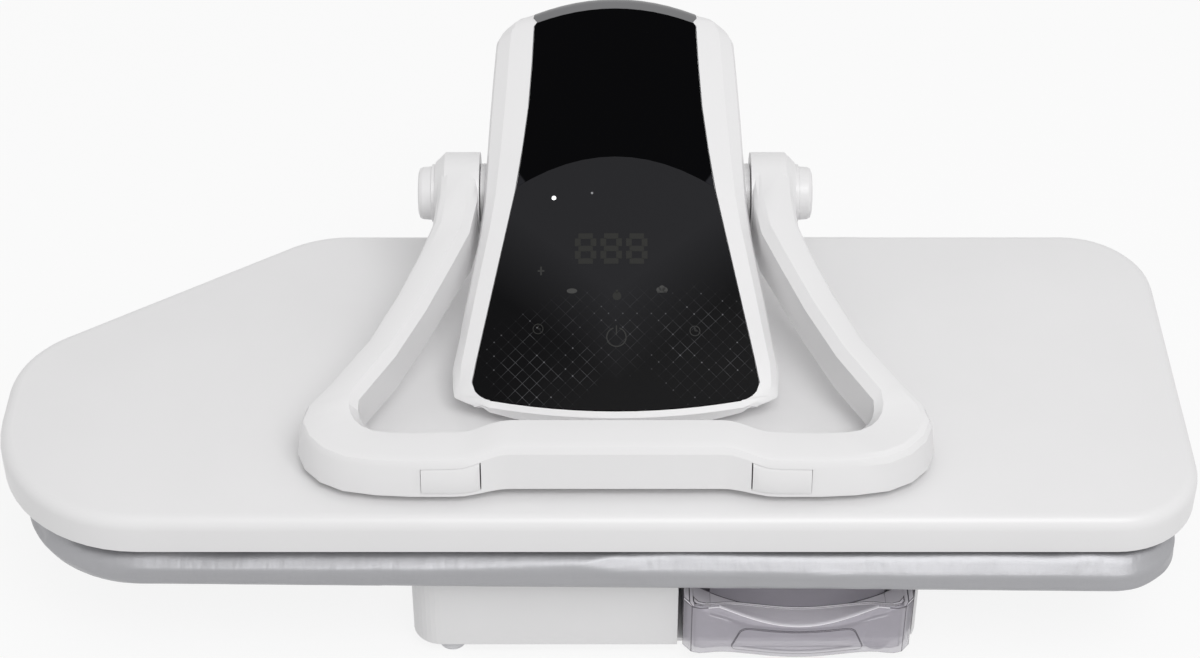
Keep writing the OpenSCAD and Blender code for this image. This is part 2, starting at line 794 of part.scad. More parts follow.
module tank_lid() {
    color("lavender")
        difference() {
            union() {
                difference() {
                    translate([0, 0, tank_top + 0.05])
                        linear_extrude(lid_t)
                            tank_plan(0, 1);
                    dip_cut(pull_lip, tank_y0 - 13, tank_y0 + pull_d);
                }
                difference() {
                    translate([0, 0, tank_top - 3])
                        linear_extrude(3.5)
                            tank_plan(tank_wall + 0.3, 1);
                    translate([0, 0, tank_top - 4])
                        linear_extrude(5)
                            tank_plan(tank_wall + 2.3, 1);
                    block(tank_x - tank_w, tank_x + tank_w, tank_y0 - 13, tank_y0 + pull_d + tank_wall + slip,
                        tank_top - 5, tank_top + 0.04);
                }
                rod_z(fill_x, fill_y, tank_top + 1, tank_top + lid_t + 3, fill_r + 2.5);
            }
            rod_z(fill_x, fill_y, tank_top - 4, tank_top + lid_t + 4, fill_r);
        }
}
module tank_valve() {
    color("dimgray")
        difference() {
            union() {
                rod_y(coupling_x, tank_y1 - tank_wall - 4, tank_y1 - tank_wall - 0.05, coupling_z, 8);
                rod_y(coupling_x, tank_y1 - tank_wall - 1, tank_y1 + 0.5, coupling_z, 3.95);
                rod_y(coupling_x, tank_y1 + 0.05, tank_y1 + 8, coupling_z, 5);
            }
            rod_y(coupling_x, tank_y1 - 12, tank_y1 + 9, coupling_z, 2);
        }
}
plug_z = tank_top + lid_t + 3;
module filler_plug() {
    color("slategray")
        translate([fill_x, fill_y, plug_z])
            difference() {
                union() {
                    rotate_extrude()
                        polygon([[0, -6], [fill_r - 2, -6], [fill_r - slip, -4], [fill_r - slip, 0.05],
                            [fill_r + 3, 0.05], [fill_r + 3, 2], [fill_r + 2, 3], [0, 3]]);
                    translate([-9, -2, 2.5])
                        cube([18, 4, 4.5]);
                }
                translate([0, 0, -7])
                    cylinder(h = 6, r = fill_r - 5);
            }
}

// Head: a hood lofted along the control panel, over the top and down the back
pan_dy = panel_y1 - panel_y0;
pan_dz = panel_z1 - panel_z0;
pan_l = norm([pan_dy, pan_dz]);
tilt = atan2(pan_dz, pan_dy);
bend0 = 14;
bend1 = -19;
bend2 = -7.7;
split_m = split_at*pan_l;
function bend_at(m) =
    m < split_m ? bend0 + (bend1 - bend0)*max(0, m)/split_m
    : bend1 + (bend2 - bend1)*min(1, (m - split_m)/(pan_l - split_m));
function line_at(m) =
    let (s = m/pan_l)
    let (b = panel_bow*4*s*(1 - s))
    [pf + panel_y0 + m*cos(tilt) - b*sin(tilt), plate_top + panel_z0 + m*sin(tilt) + b*cos(tilt)];
function panel_half(m) =
    let (s = m/pan_l)
    57 + 11*(1 - s) + 32*ramp((0.8 - s)/0.8);
function round_off(e, r) = e >= r ? 0 : r - sqrt(max(0, r*r - (r - e)*(r - e)));
function pocket_half(m) = panel_half(m) - round_off(max(0, m), 15) - round_off(max(0, pan_l - m), 2.5);
function shell_half(m) =
    let (s = m/pan_l)
    84 + 11*(1 - s) + 22*ramp((0.55 - s)/0.55) + 16*max(0, s - 0.15)*(1 - s)
    - 9*pow(max(0, 1 - (m + 5)/40), 1.4) - 11*pow(max(0, (1.5 - m)/6.5), 1.3);
function drop_at(m) = min(1, 0.1 + (m + 5)/65);
function top_round(m) = round_off(max(0, pan_l + 9 - m), 18);
// Point of the panel surface at m along and x across, t under the surface
function surf(m, xi, half, t) =
    let (k = min(1, abs(xi)*half/panel_half(m)))
    let (c = line_at(m))
    let (e = sta_d(m))
    [hx + xi*half, c[0] + e[0]*k*k, c[1] + e[1]*k*k - t];
// Roll over the top edge and down the back, as centre points
top_c = line_at(pan_l);
lip_r = 10;
back_r = 40;
lip_o = top_c + lip_r*[sin(tilt), -cos(tilt)];
lip_e = lip_o + lip_r*[cos(50), sin(50)];
back_o = lip_e - back_r*[cos(50), sin(50)];
foot_y = hy + barrel_r + 2;
roll = concat(
    [for (a = [98, 74, 50]) lip_o + lip_r*[cos(a), sin(a)]],
    [for (a = [38, 25, 12, 0]) back_o + back_r*[cos(a), sin(a)]],
    [for (t = [0.18, 0.42, 0.68, 0.9, 1])
        [back_o[0] + back_r, back_o[1]] + t*[foot_y - back_o[0] - back_r, hz + 12 - back_o[1]]]);
roll_in = [0.5, 1.5, 3, 4.5, 6, 7, 8, 9, 10, 11, 12, 13];
roll_round = [5, 9, 13, 16, 18, 18, 17, 14, 10, 7, 4, 2];
function roll_z(y) = lookup(y, [for (p = roll) p]);
function foot_z(y) =
    y < pb + 6 ? head_z
    : y < hy - barrel_r ? head_z + (hz - head_z)*(y - pb - 6)/(hy - barrel_r - pb - 6)
    : y > hy + barrel_r ? hz
    : hz - sqrt(barrel_r*barrel_r - (y - hy)*(y - hy));
barrel_half = 73;
// The side walls are drawn in under the rim, most at the chin
function tuck(y) = 4 + 16*max(0, min(1, 1 - (y - pf - panel_y0 - 6)/70));
function foot_half(y, w) =
    y < pb ? w - tuck(y)
    : let (k = min(1, (y - pb)/20)) (w - 4)*(1 - k) + min(w - 4, barrel_half)*k;
xi_steps = [0.16, 0.33, 0.5, 0.67, 0.84];
// Point x across on the foot of a section whose sides sweep back by dy at h
function foot_point(y0, dy, x, h) =
    let (v = y0 + dy*pow(min(1, x/h), 2))
    let (y = v + under(v))
    [x, y, foot_z(y)];
// Half of an outer section, from the middle to the foot; e rounds the shoulder
function half_out(c, dy, dz, p, w, d, k, e, h) =
    let (y1 = c[0] + dy)
    let (z1 = c[1] + dz)
    let (q = min(1, p/h))
    concat(
        [[0, c[0], c[1] - d]],
        [for (x = xi_steps) [x*p, c[0] + dy*x*x*q*q, c[1] + dz*x*x*q*q - d]],
        [[p + 0.15, c[0] + dy*q*q, c[1] + dz*q*q - d - 0.02]],
        [[p + 0.3, c[0] + dy*q*q, c[1] + dz*q*q - 0.05*k]],
        [[p + 0.3 + 0.6*(w - e - p), y1, z1 - 3*k]],
        [[w - e - 1.6, y1, z1 - 9*k]],
        [[w, y1, z1 - (13 + 1.5*e)*k]],
        [foot_point(c[0], dy, foot_half(y1, w), h)]);
// The chin is drawn back under the rim
function under(y) = 15*max(0, min(1, 1 - (y - pf - panel_y0)/90));
floor_steps = [0, 0.14, 0.28, 0.42, 0.57, 0.7, 0.8, 0.84, 0.9, 0.94, 0.97, 1];
function half_in(c, dy, dz, p, w, zi, t, e, h) =
    let (y1 = c[0] + dy)
    let (r = min(1, p/h))
    let (f = foot_half(y1, w) - t)
    let (k = zi == undef ? 1 : min(1, (zi - foot_z(y1))/26))
    zi == undef
    ? [for (q = floor_steps)
        foot_point(c[0], dy, f*q, h)]
    : concat(
        [[0, c[0], zi]],
        [for (x = xi_steps) [x*p, c[0] + dy*x*x*r*r, zi + dz*x*x*r*r]],
        [[p - 3, c[0] + dy*r*r, zi + dz*r*r - 0.5*k]],
        [[p - 1, c[0] + dy*r*r, zi + dz*r*r - k]],
        [[p + 0.5*(w - e - p) - 1, y1 + 0.2*under(y1), zi + dz - 4*k]],
        [[w - e - t - 1.6, y1 + 0.4*under(y1), zi + dz - 8*k]],
        [[w - t, y1 + 0.55*under(y1), zi + dz - (12 + 1.5*e)*k]],
        [foot_point(c[0], dy, f, h)]);
function both(h) = concat(
    [for (i = [len(h) - 1:-1:1]) [hx - h[i][0], h[i][1], h[i][2]]],
    [for (p = h) [hx + p[0], p[1], p[2]]]);
// Stations along the panel: distance, pocket depth, cavity
stations = concat(
    [[-5, 0, 0], [-3, 0, 0], [-0.4, 0, 0], [0, lens_t, 0]],
    [for (m = [0.4, 2, 5, 12]) [m, lens_t, 1]],
    [for (t = [0.1:0.1:0.9]) [t*pan_l, lens_t, 1]],
    [for (e = [12, 5, 2, 0]) [pan_l - e, lens_t, 1]],
    [[pan_l + 0.4, 0, 1]]);
// Front of the chin: forward, down, and the lift of its corners
chin = [[-0.9, -10.5, 9.5], [-0.4, -5, 4.5]];
function sta_d(m) = line_at(m + bend_at(m)) - line_at(m) + [0, -panel_crown];
ceil_d = (lens_t + head_wall)*1.2;
chin_d = sta_d(-5);
front_out = [for (q = chin)
    both(half_out(line_at(-5) + [q[0], q[1]], chin_d[0], chin_d[1] + q[2], pocket_half(0),
        shell_half(-5) - 1.5, 0, drop_at(-5), 0, panel_half(0)))];
front_in = [for (q = chin)
    both(half_in(line_at(-5) + [q[0], q[1]], chin_d[0], 0, pocket_half(0),
        shell_half(-5) - 1.5, undef, head_wall, 0, panel_half(0)))];
mid_out = [for (q = stations)
    let (d = sta_d(q[0]))
    both(half_out(line_at(q[0]), d[0], d[1], pocket_half(q[0]), shell_half(q[0]), q[1], drop_at(q[0]),
        top_round(q[0]), panel_half(q[0])))];
mid_in = [for (q = stations)
    let (c = line_at(q[0]))
    let (d = sta_d(q[0]))
    let (z = q[2] == 0 ? undef : max(c[1] - ceil_d, head_z + 3))
    both(half_in(c, d[0], d[1], pocket_half(q[0]), shell_half(q[0]), z, head_wall,
        top_round(q[0]), panel_half(q[0])))];
end_d = sta_d(pan_l);
roll_p = [for (i = [0:len(roll) - 1]) pocket_half(pan_l) + 3 - roll_in[i]*0.5];
back_out = [for (i = [0:len(roll) - 1])
    let (k = min(1, (roll[i][1] - foot_z(roll[i][0] + end_d[0]) - 3)/50))
    both(half_out(roll[i], end_d[0], end_d[1]*k, roll_p[i], 84 - roll_in[i], 0, k,
        roll_round[i], panel_half(pan_l)))];
back_in = [for (i = [0:len(roll) - 1])
    let (y = roll[i][0])
    let (f = foot_z(y + end_d[0]))
    let (z = min(roll_z(y + head_wall + 0.6), roll[i][1] - 3))
    let (open = i < len(roll) - 2)
    both(half_in(roll[i], end_d[0], end_d[1], roll_p[i], 84 - roll_in[i],
        open ? max(z, f + 58) : undef, head_wall,
        roll_round[i], panel_half(pan_l)))];
collar_r = 21;
module head_shell() {
    color("white")
        difference() {
            channel(concat(front_out, mid_out, back_out), concat(front_in, mid_in, back_in));
            rod_x(hx - 110, hx + 110, py, pz, collar_r + 0.2);
            rod_x(hx - 90, hx + 90, hy, hz, pin_d/2 + 1);
            on_panel(board_m)
                block(-28, 28, show_m - board_m - 1, show_m - board_m + show_l + 1, -12, 1);
        }
}
// Black panel in two pieces, meeting on the curved split
lens_cols = [-1, -0.92, -0.84, -0.67, -0.5, -0.33, -0.16, 0, 0.16, 0.33, 0.5, 0.67, 0.84, 0.92, 1];
module panel_piece(ms) {
    top = [for (m = ms) [for (x = lens_cols) surf(m, x, pocket_half(m) - slip, 0)]];
    low = [for (m = ms) [for (x = lens_cols) surf(m, x, pocket_half(m) - slip, lens_t - 0.25)]];
    channel(top, low);
}
module control_lens() {
    color("black")
        panel_piece(concat([0.3, 2, 5, 12], [for (t = [0.1:0.1:0.5]) t*pan_l], [split_m - 0.15]));
}
module top_panel() {
    color("black")
        panel_piece(concat([split_m + 0.15], [for (t = [0.7:0.1:0.9]) t*pan_l],
            [for (e = [12, 5, 2, 0.3]) pan_l - e]));
}
module on_panel(m) {
    c = line_at(m);
    translate([hx, c[0], c[1]])
        rotate([tilt, 0, 0])
            children();
}
board_m = 22;
board_l = 128;
board_d = 11;
show_m = 105;
show_l = 20;
// Under side of the pocket floor at m along and x across, in the plane of the panel
function under_floor(m, x) =
    let (k = min(1, x/panel_half(m)))
    let (v = line_at(m) + sta_d(m)*k*k - [0, ceil_d] - line_at(board_m))
    [v*[cos(tilt), sin(tilt)], v*[-sin(tilt), cos(tilt)]];
board_posts = [for (q = [[0.1, 0.33], [0.4, 0.67]])
    let (m = q[0]*pan_l)
    [m, q[1]*pocket_half(m)]];
module control_board() {
    color("darkgreen")
        on_panel(board_m)
            union() {
                block(-62, 62, 0, board_l, -board_d, -board_d + 1.6);
                block(-50, -30, 20, 44, -board_d - 5, -board_d + 0.5);
                block(20, 44, 50, 62, -board_d - 8, -board_d + 0.5);
                for (q = board_posts)
                    for (s = [-1, 1])
                        rod_z(s*q[1], under_floor(q[0], q[1])[0], 0.5 - board_d,
                            under_floor(q[0], q[1])[1] - 0.5, 2, $fn = 24);
            }
}
module display() {
    color("black")
        on_panel(board_m)
            block(-27, 27, show_m - board_m, show_m - board_m + show_l, -board_d + 1.65, -board_d + 4);
}
frame_z = plate_top + 6;
frame_x = 50;
frame_t = 4;
hub_r = 15;
module frame_cheek() {
    polygon([
        [mid_y - 35, frame_z],
        [mid_y + 35, frame_z],
        [mid_y + 55, frame_z + 16],
        [pb + 2, frame_z + 16],
        [hy - 20, hz + 24],
        [hy - 18, hz],
        [hy + 18, hz],
        [hy + 9, hz + 50],
        [py + 58, pz + 10],
        [py + 22, pz + 18],
        [py - 16, pz + 14],
        [mid_y - 35, frame_z + 8]]);
}
module arm_frame() {
    x1 = frame_x + frame_t;
    color("slategray")
        difference() {
            union() {
                for (x = [-x1, frame_x])
                    translate([hx + x, 0, 0])
                        rotate([90, 0, 90])
                            linear_extrude(frame_t)
                                frame_cheek();
                rod_x(hx - x1, hx + x1, hy, hz, 18);
                rod_x(hx - x1, hx + x1, py, pz, hub_r);
                rod_x(hx - x1, hx + x1, pb + 12, frame_z + 40, 5);
                block(hx - x1, hx + x1, mid_y - 35, mid_y + 35, frame_z, frame_z + 4);
            }
            rod_x(hx - x1 - 1, hx + x1 + 1, hy, hz, pin_d/2 + 3);
            rod_x(hx - x1 - 1, hx + x1 + 1, py, pz, shaft_d/2 + 3);
            for (p = foot_posts)
                rod_z(p[0], p[1], frame_z - 1, frame_z + 5, 2.6, $fn = 24);
        }
}
// Flanged sleeve pair in a hub of the frame
module sleeves(y, z, r) {
    x1 = frame_x + frame_t;
    for (s = [0, 1])
        mirror([s, 0, 0])
            translate([s == 0 ? hx : -hx, 0, 0])
                difference() {
                    union() {
                        rod_x(x1 - 18, x1 + 1, y, z, r + 2.98);
                        rod_x(x1 + 0.02, x1 + 2, y, z, r + 6);
                    }
                    rod_x(x1 - 19, x1 + 3, y, z, r + run_fit);
                }
}
module hinge_bushes() {
    color("ivory")
        sleeves(hy, hz, pin_d/2);
}
module pivot_bushes() {
    color("ivory")
        sleeves(py, pz, shaft_d/2);
}
boss_x0 = 95.5;
boss_x1 = 127;
module pivot_collars() {
    color("white")
        for (s = [0, 1])
            mirror([s, 0, 0])
                translate([s == 0 ? hx : -hx, 0, 0])
                    difference() {
                        rod_x(80, boss_x0 - 0.7, py, pz, collar_r);
                        rod_x(79, boss_x0, py, pz, shaft_d/2 + 0.5);
                    }
}
hose_z = plate_top + 42;
module bend_yz(x, y, z, a) {
    translate([x, y, z])
        rotate([90, 0, 90])
            rotate([0, 0, a])
                rotate_extrude(angle = 90)
                    translate([turn_r, 0])
                        difference() {
                            circle(hose_r);
                            circle(hose_r - 1.5);
                        }
}
module tube_z(x, y, z0, z1) {
    difference() {
        rod_z(x, y, z0, z1, hose_r);
        rod_z(x, y, z0 - 1, z1 + 1, hose_r - 1.5);
    }
}
module steam_hose() {
    y1 = hy - 4;
    color("lightgray")
        union() {
            tube_z(inlet_x, y1, hose_z - 42, hose_z - turn_r);
            bend_yz(inlet_x, y1 - turn_r, hose_z - turn_r, 0);
            tube_y(inlet_x, inlet_y + turn_r, y1 - turn_r, hose_z);
            bend_yz(inlet_x, inlet_y + turn_r, hose_z - turn_r, 90);
            tube_z(inlet_x, inlet_y, plate_top - 2, hose_z - turn_r);
        }
}

// Handle: stations from the middle of the bar to the boss
// outer edge x and y, inner edge x and y, bottom z, top z, share of the pivot shift
grip = [
    [0, 23, 0, 59, 8, 42, 0],
    [70, 23, 70, 59, 8, 42, 0],
    [76, 22.6, 76, 58.6, 7.9, 41.5, 0],
    [82, 21.4, 82, 57.7, 7.6, 40.3, 0],
    [88, 20, 87.6, 56.5, 7.25, 38.75, 0],
    [94, 18.6, 93, 55.3, 6.9, 37.2, 0],
    [100, 17.4, 98.5, 54.4, 6.6, 36, 0],
    [108, 17, 106, 54, 6.5, 35.5, 0],
    [135, 17, 132, 53.5, 6.5, 35, 0],
    [158, 18.5, 149, 54.3, 6.5, 35, 0],
    [180, 22.5, 158, 55.5, 6.5, 35.2, 0],
    [196, 31, 164, 58, 6.5, 36, 0],
    [207, 43, 168, 61.5, 6.8, 37, 0],
    [212.5, 57, 170.5, 65.5, 7.5, 38.5, 0],
    [209, 71, 171.8, 70, 9, 41, 0],
    [194, 91, 171.5, 75, 13, 46, 0.1],
    [170, 123, 148.5, 107, 23, 56.5, 0.3],
    [153, 155, 129, 142, 34, 68, 0.5],
    [138, 186, 112.8, 174, 45, 81, 0.7],
    [129.5, 206, 101, 198, 52, 91, 0.85],
    [127, 225, 96.5, 223, 55, 99, 1],
    [127, 250, 95.7, 250, 49, 103.5, 1]];
grip_shift = [0, pivot_y - 256, 0, pivot_y - 256, pivot_z - 76, pivot_z - 76];
half_grip = [for (g = grip) [for (i = [0:5]) g[i] + g[6]*grip_shift[i]]];
full_grip = concat(
    [for (i = [len(grip) - 1:-1:1]) half_grip[i]],
    [for (g = half_grip) [-g[0], g[1], -g[2], g[3], g[4], g[5]]]);
grip_lean = 3.5;
edge_r = 6;
function grip_ring(g, t) =
    let (o = [hx + g[0], pf + g[1]])
    let (i = [hx + g[2], pf + g[3]])
    let (e = unit(o - i))
    let (zb = plate_top + g[4])
    let (zt = plate_top + g[5] - t)
    let (r = edge_r - t)
    let (ob = o - t*e)
    let (ot = o - (t + grip_lean)*e)
    let (ib = i + t*e)
    [for (p = [
        [ob, zb],
        [ot + 0.2*grip_lean*e, zt - r],
        [ot - 0.3*r*e, zt - 0.3*r],
        [ot - r*e, zt],
        [ib + r*e, zt],
        [ib + 0.3*r*e, zt - 0.3*r],
        [ib, zt - r],
        [ib, zb]])
        [p[0][0], p[0][1], p[1]]];
grip_posts = [40, 145];
module handle_shell() {
    color("white")
        difference() {
            union() {
                channel([for (g = full_grip) grip_ring(g, 0)], [for (g = full_grip) grip_ring(g, grip_wall)]);
                for (s = [0, 1])
                    mirror([s, 0, 0])
                        translate([s == 0 ? hx : -hx, 0, 0]) {
                            rod_x(boss_x0, boss_x1 - 7, py, pz, boss_r);
                            translate([boss_x1 - 7.1, py, pz])
                                rotate([0, 90, 0])
                                    cylinder(h = 7.1, r1 = boss_r, r2 = boss_r - 7);
                        }
                for (s = [-1, 1])
                    for (x = grip_posts)
                        rod_z(hx + s*x, pf + 39, plate_top + 11, plate_top + lookup(x, high_line) - 1, 4.5);
            }
            rod_x(hx - boss_x1 - 1, hx + boss_x1 + 1, py, pz, shaft_d/2);
            for (s = [-1, 1]) {
                button_at(s, 0.35, 6, 8);
                for (x = grip_posts)
                    rod_z(hx + s*x, pf + 39, plate_top + 10, plate_top + 25, 1.5, $fn = 24);
            }
        }
}
module handle_cover() {
    n = len(full_grip);
    g0 = grip_wall + slip;
    rings = [for (k = [1:n - 2])
        let (g = full_grip[k])
        let (o = [hx + g[0], pf + g[1]])
        let (i = [hx + g[2], pf + g[3]])
        let (e = unit(o - i))
        let (a = o - (g0 + 0.6)*e)
        let (b = i + g0*e)
        let (z = plate_top + g[4])
        [[a[0], a[1], z], [a[0], a[1], z + 2.2], [b[0], b[1], z + 2.2], [b[0], b[1], z]]];
    color("whitesmoke")
        difference() {
            loft(rings);
            for (s = [-1, 1])
                for (x = grip_posts)
                    rod_z(hx + s*x, pf + 39, plate_top, plate_top + 14, 1.8, $fn = 24);
        }
}
module handle_screws() {
    color("gray")
        for (s = [-1, 1])
            for (x = grip_posts)
                translate([hx + s*x, pf + 39, plate_top + (x < 80 ? 8 : 6.5)])
                    rotate([180, 0, 0])
                        screw(0, 0, 0, 3 - 2*run_fit, 12);
}
module handle_shaft() {
    color("silver")
        union() {
            rod_x(hx - boss_x1 + 4, hx + boss_x1 - 4, py, pz, shaft_d/2);
            for (s = [-1, 1])
                rod_x(hx + s*(frame_x - 24) - 2, hx + s*(frame_x - 24) + 2, py, pz, shaft_d/2 + 2);
        }
}
cap_r = 18.5;
module pivot_caps() {
    color("white")
        for (s = [0, 1])
            mirror([s, 0, 0])
                translate([(s == 0 ? hx : -hx) + boss_x1, py, pz])
                    rotate([0, 90, 0])
                        rotate_extrude()
                            polygon([[0, 0.05], [cap_r + 2, 0.05], [cap_r + 2, 2.5], [cap_r + 0.5, 3],
                                [cap_r, 9], [cap_r - 1, 11], [cap_r - 3.5, 12], [0, 12.6]]);
}
// Steam buttons in the front of the bar
button_x0 = 89;
button_x1 = 128;
bar_n = 9;
front_line = [for (i = [0:bar_n]) [half_grip[i][0], half_grip[i][1]]];
low_line = [for (i = [0:bar_n]) [half_grip[i][0], half_grip[i][4]]];
high_line = [for (i = [0:bar_n]) [half_grip[i][0], half_grip[i][5]]];
module button_form(grow, ahead, back) {
    xs = [button_x0 - grow, 94, 100, 108, button_x1 + grow];
    rings = [for (x = xs)
        let (y = pf + lookup(x, front_line))
        let (z0 = plate_top + lookup(x, low_line) + 3.3 - grow)
        let (z1 = plate_top + lookup(x, high_line) - 7.2 + grow)
        [for (p = [
            [y + back, z0],
            [y + back, z1],
            [y + 3.4 - ahead, z1],
            [y + 1.8 - ahead, z1 - 2],
            [y - 0.9 - ahead, z0 + 2.2],
            [y - 0.4 - ahead, z0]])
            [x, p[0], p[1]]]];
    loft(rings);
}
module button_at(s, grow, ahead, back) {
    translate([hx, 0, 0])
        mirror([s < 0 ? 1 : 0, 0, 0])
            button_form(grow, ahead, back);
}
module steam_button_left() {
    color("whitesmoke")
        button_at(-1, 0, 0, 12);
}
module steam_button_right() {
    color("whitesmoke")
        button_at(1, 0, 0, 12);
}
module steam_switches() {
    bx = (button_x0 + button_x1)/2;
    color("dimgray")
        for (s = [-1, 1])
            union() {
                block(hx + s*bx - 8, hx + s*bx + 8, pf + 37, pf + 48, plate_top + 9.2, plate_top + 26);
                rod_y(hx + s*bx, pf + 33, pf + 38, plate_top + 18, 1.8);
            }
}

shoe_cover();
sole();
heater();
steam_chamber();
insulation();
thermostat();
shoe_bracket();
shoe_screws();
board_pan();
board_pad();
board_cover();
base_casing();
base_bottom();
rubber_feet();
base_screws();
pump();
feed_hose();
tank_coupling();
power_board();
cord_inlet();
hinge_bracket();
bracket_screws();
hinge_pin();
hinge_ears();
lift_springs();
tank_body();
tank_lid();
tank_valve();
filler_plug();
head_shell();
control_lens();
top_panel();
control_board();
display();
arm_frame();
hinge_bushes();
pivot_bushes();
pivot_collars();
steam_hose();
handle_shell();
handle_cover();
handle_screws();
handle_shaft();
pivot_caps();
steam_button_left();
steam_button_right();
steam_switches();
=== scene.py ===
"""Looks of a steam ironing press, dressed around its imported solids."""
import json
import math

import bmesh
import bpy
from mathutils import Matrix, Vector, noise
from mathutils.bvhtree import BVHTree

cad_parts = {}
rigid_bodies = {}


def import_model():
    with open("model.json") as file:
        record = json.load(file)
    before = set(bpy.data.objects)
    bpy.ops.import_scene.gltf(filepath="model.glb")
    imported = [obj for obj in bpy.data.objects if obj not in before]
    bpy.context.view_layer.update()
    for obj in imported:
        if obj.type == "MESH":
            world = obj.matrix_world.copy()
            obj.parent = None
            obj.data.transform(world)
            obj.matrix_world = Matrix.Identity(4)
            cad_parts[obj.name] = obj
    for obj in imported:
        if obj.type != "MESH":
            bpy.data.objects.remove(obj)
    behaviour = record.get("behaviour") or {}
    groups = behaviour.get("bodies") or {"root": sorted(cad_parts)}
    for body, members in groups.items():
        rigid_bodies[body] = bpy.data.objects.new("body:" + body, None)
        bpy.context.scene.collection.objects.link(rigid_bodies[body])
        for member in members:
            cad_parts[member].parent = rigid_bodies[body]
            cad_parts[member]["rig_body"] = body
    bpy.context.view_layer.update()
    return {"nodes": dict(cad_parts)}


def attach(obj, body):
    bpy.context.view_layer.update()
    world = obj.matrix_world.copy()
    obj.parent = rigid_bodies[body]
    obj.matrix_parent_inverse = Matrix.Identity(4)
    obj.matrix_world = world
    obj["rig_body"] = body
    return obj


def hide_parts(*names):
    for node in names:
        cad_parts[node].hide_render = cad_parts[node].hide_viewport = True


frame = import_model()
NODES = frame["nodes"]
MM = 0.001


# Finishes
class Val:
    """A shader socket that takes arithmetic: every operator adds a Math node."""

    def __init__(self, finish, socket):
        self.finish = finish
        self.socket = socket

    def maths(self, operation, a, b):
        return self.finish.node("ShaderNodeMath", {"operation": operation}, {0: a, 1: b})

    def __add__(self, other):
        return self.maths("ADD", self, other)

    def __radd__(self, other):
        return self.maths("ADD", other, self)

    def __sub__(self, other):
        return self.maths("SUBTRACT", self, other)

    def __rsub__(self, other):
        return self.maths("SUBTRACT", other, self)

    def __mul__(self, other):
        return self.maths("MULTIPLY", self, other)

    def __rmul__(self, other):
        return self.maths("MULTIPLY", other, self)

    def __truediv__(self, other):
        return self.maths("DIVIDE", self, other)

    def __pow__(self, other):
        return self.maths("POWER", self, other)

    def sine(self):
        return self.maths("SINE", self, 0.0)

    def size(self):
        return self.maths("ABSOLUTE", self, 0.0)

    def part(self):
        return self.maths("FRACT", self, 0.0)

    def least(self, other):
        return self.maths("MINIMUM", self, other)

    def most(self, other):
        return self.maths("MAXIMUM", self, other)


class Finish:
    """One node material, read in the object's own coordinates."""

    def __init__(self, name):
        self.material = bpy.data.materials.new(name)
        self.material.use_nodes = True
        self.tree = self.material.node_tree
        self.shader = self.tree.nodes["Principled BSDF"]
        self.place = self.node("ShaderNodeTexCoord", out="Object")

    def node(self, kind, settings=None, sockets=None, out=0):
        made = self.tree.nodes.new(kind)
        for key, value in (settings or {}).items():
            setattr(made, key, value)
        for key, value in (sockets or {}).items():
            self.put(made.inputs[key], value)
        return Val(self, made.outputs[out])

    def put(self, socket, value):
        if isinstance(value, Val):
            self.tree.links.new(value.socket, socket)
        else:
            socket.default_value = value

    def set(self, **sockets):
        for key, value in sockets.items():
            self.put(self.shader.inputs[key.replace("_", " ")], value)
        return self

    def axes(self):
        return [self.node("ShaderNodeSeparateXYZ", None, {0: self.place}, axis) for axis in range(3)]

    def stretched(self, scale):
        return self.node("ShaderNodeMapping", None, {"Vector": self.place, "Scale": scale})

    def cloud(self, scale, detail=2.0, rough=0.5, place=None):
        sockets = {"Vector": place or self.place, "Scale": scale, "Detail": detail, "Roughness": rough}
        return self.node("ShaderNodeTexNoise", None, sockets)

    def cells(self, scale):
        return self.node("ShaderNodeTexVoronoi", None, {"Vector": self.place, "Scale": scale})

    def blend(self, share, low, high):
        return self.node("ShaderNodeMix", {"data_type": "RGBA"}, {0: share, 6: low, 7: high}, 2)

    def bump(self, height, depth, strength=1.0):
        self.set(Normal=self.node("ShaderNodeBump", None,
                                  {"Strength": strength, "Distance": depth, "Height": height}))

    def step(self, value, low, high):
        return self.node("ShaderNodeMapRange", {"clamp": True},
                         {0: value, 1: low, 2: high, 3: 0.0, 4: 1.0})


def tint(colour, share=1.0):
    return tuple(min(1.0, c * share) for c in colour[:3]) + (1.0,)


def moulded(name, colour, rough, grain=0.5, depth=0.006, flow=0.02, specular=0.5):
    """Moulded plastic: fine spark grain, faint flow clouds and slow changes of gloss."""
    f = Finish(name)
    speck = f.cloud(1000 / grain, 1.0)
    drift = f.cloud(14.0, 2.0)
    f.set(Base_Color=f.blend(drift, tint(colour, 1 - flow), tint(colour, 1 + flow)),
          Roughness=rough + (speck - 0.5) * 0.10 + (drift - 0.5) * 0.06, Specular_IOR_Level=specular)
    f.bump(speck, depth * MM)
    return f.material


def metal(name, colour, rough, stretch=(40.0, 900.0, 900.0), depth=0.01, stain=0.10):
    """Worked metal: fine lines along one way, with dull patches."""
    f = Finish(name)
    lines = f.cloud(1.0, 3.0, 0.6, f.stretched(stretch))
    patch = f.cloud(38.0, 4.0, 0.6)
    f.set(Base_Color=f.blend(patch, tint(colour, 1 - stain), tint(colour, 1 + stain * 0.5)), Metallic=1.0,
          Roughness=rough + (patch - 0.5) * 0.16 + (lines - 0.5) * 0.14)
    f.bump(lines, depth * MM)
    return f.material


def cast(name, colour, rough):
    """Cast alloy: pebbled skin with small pits."""
    f = Finish(name)
    skin = f.cloud(620.0, 3.0, 0.6)
    pits = f.step(f.cells(420.0), 0.0, 0.35)
    patch = f.cloud(30.0, 3.0)
    f.set(Base_Color=f.blend(patch, tint(colour, 0.86), tint(colour, 1.05)), Metallic=1.0,
          Roughness=rough + (patch - 0.5) * 0.15)
    f.bump(skin * 0.6 + pits * 0.4, 0.06 * MM)
    return f.material


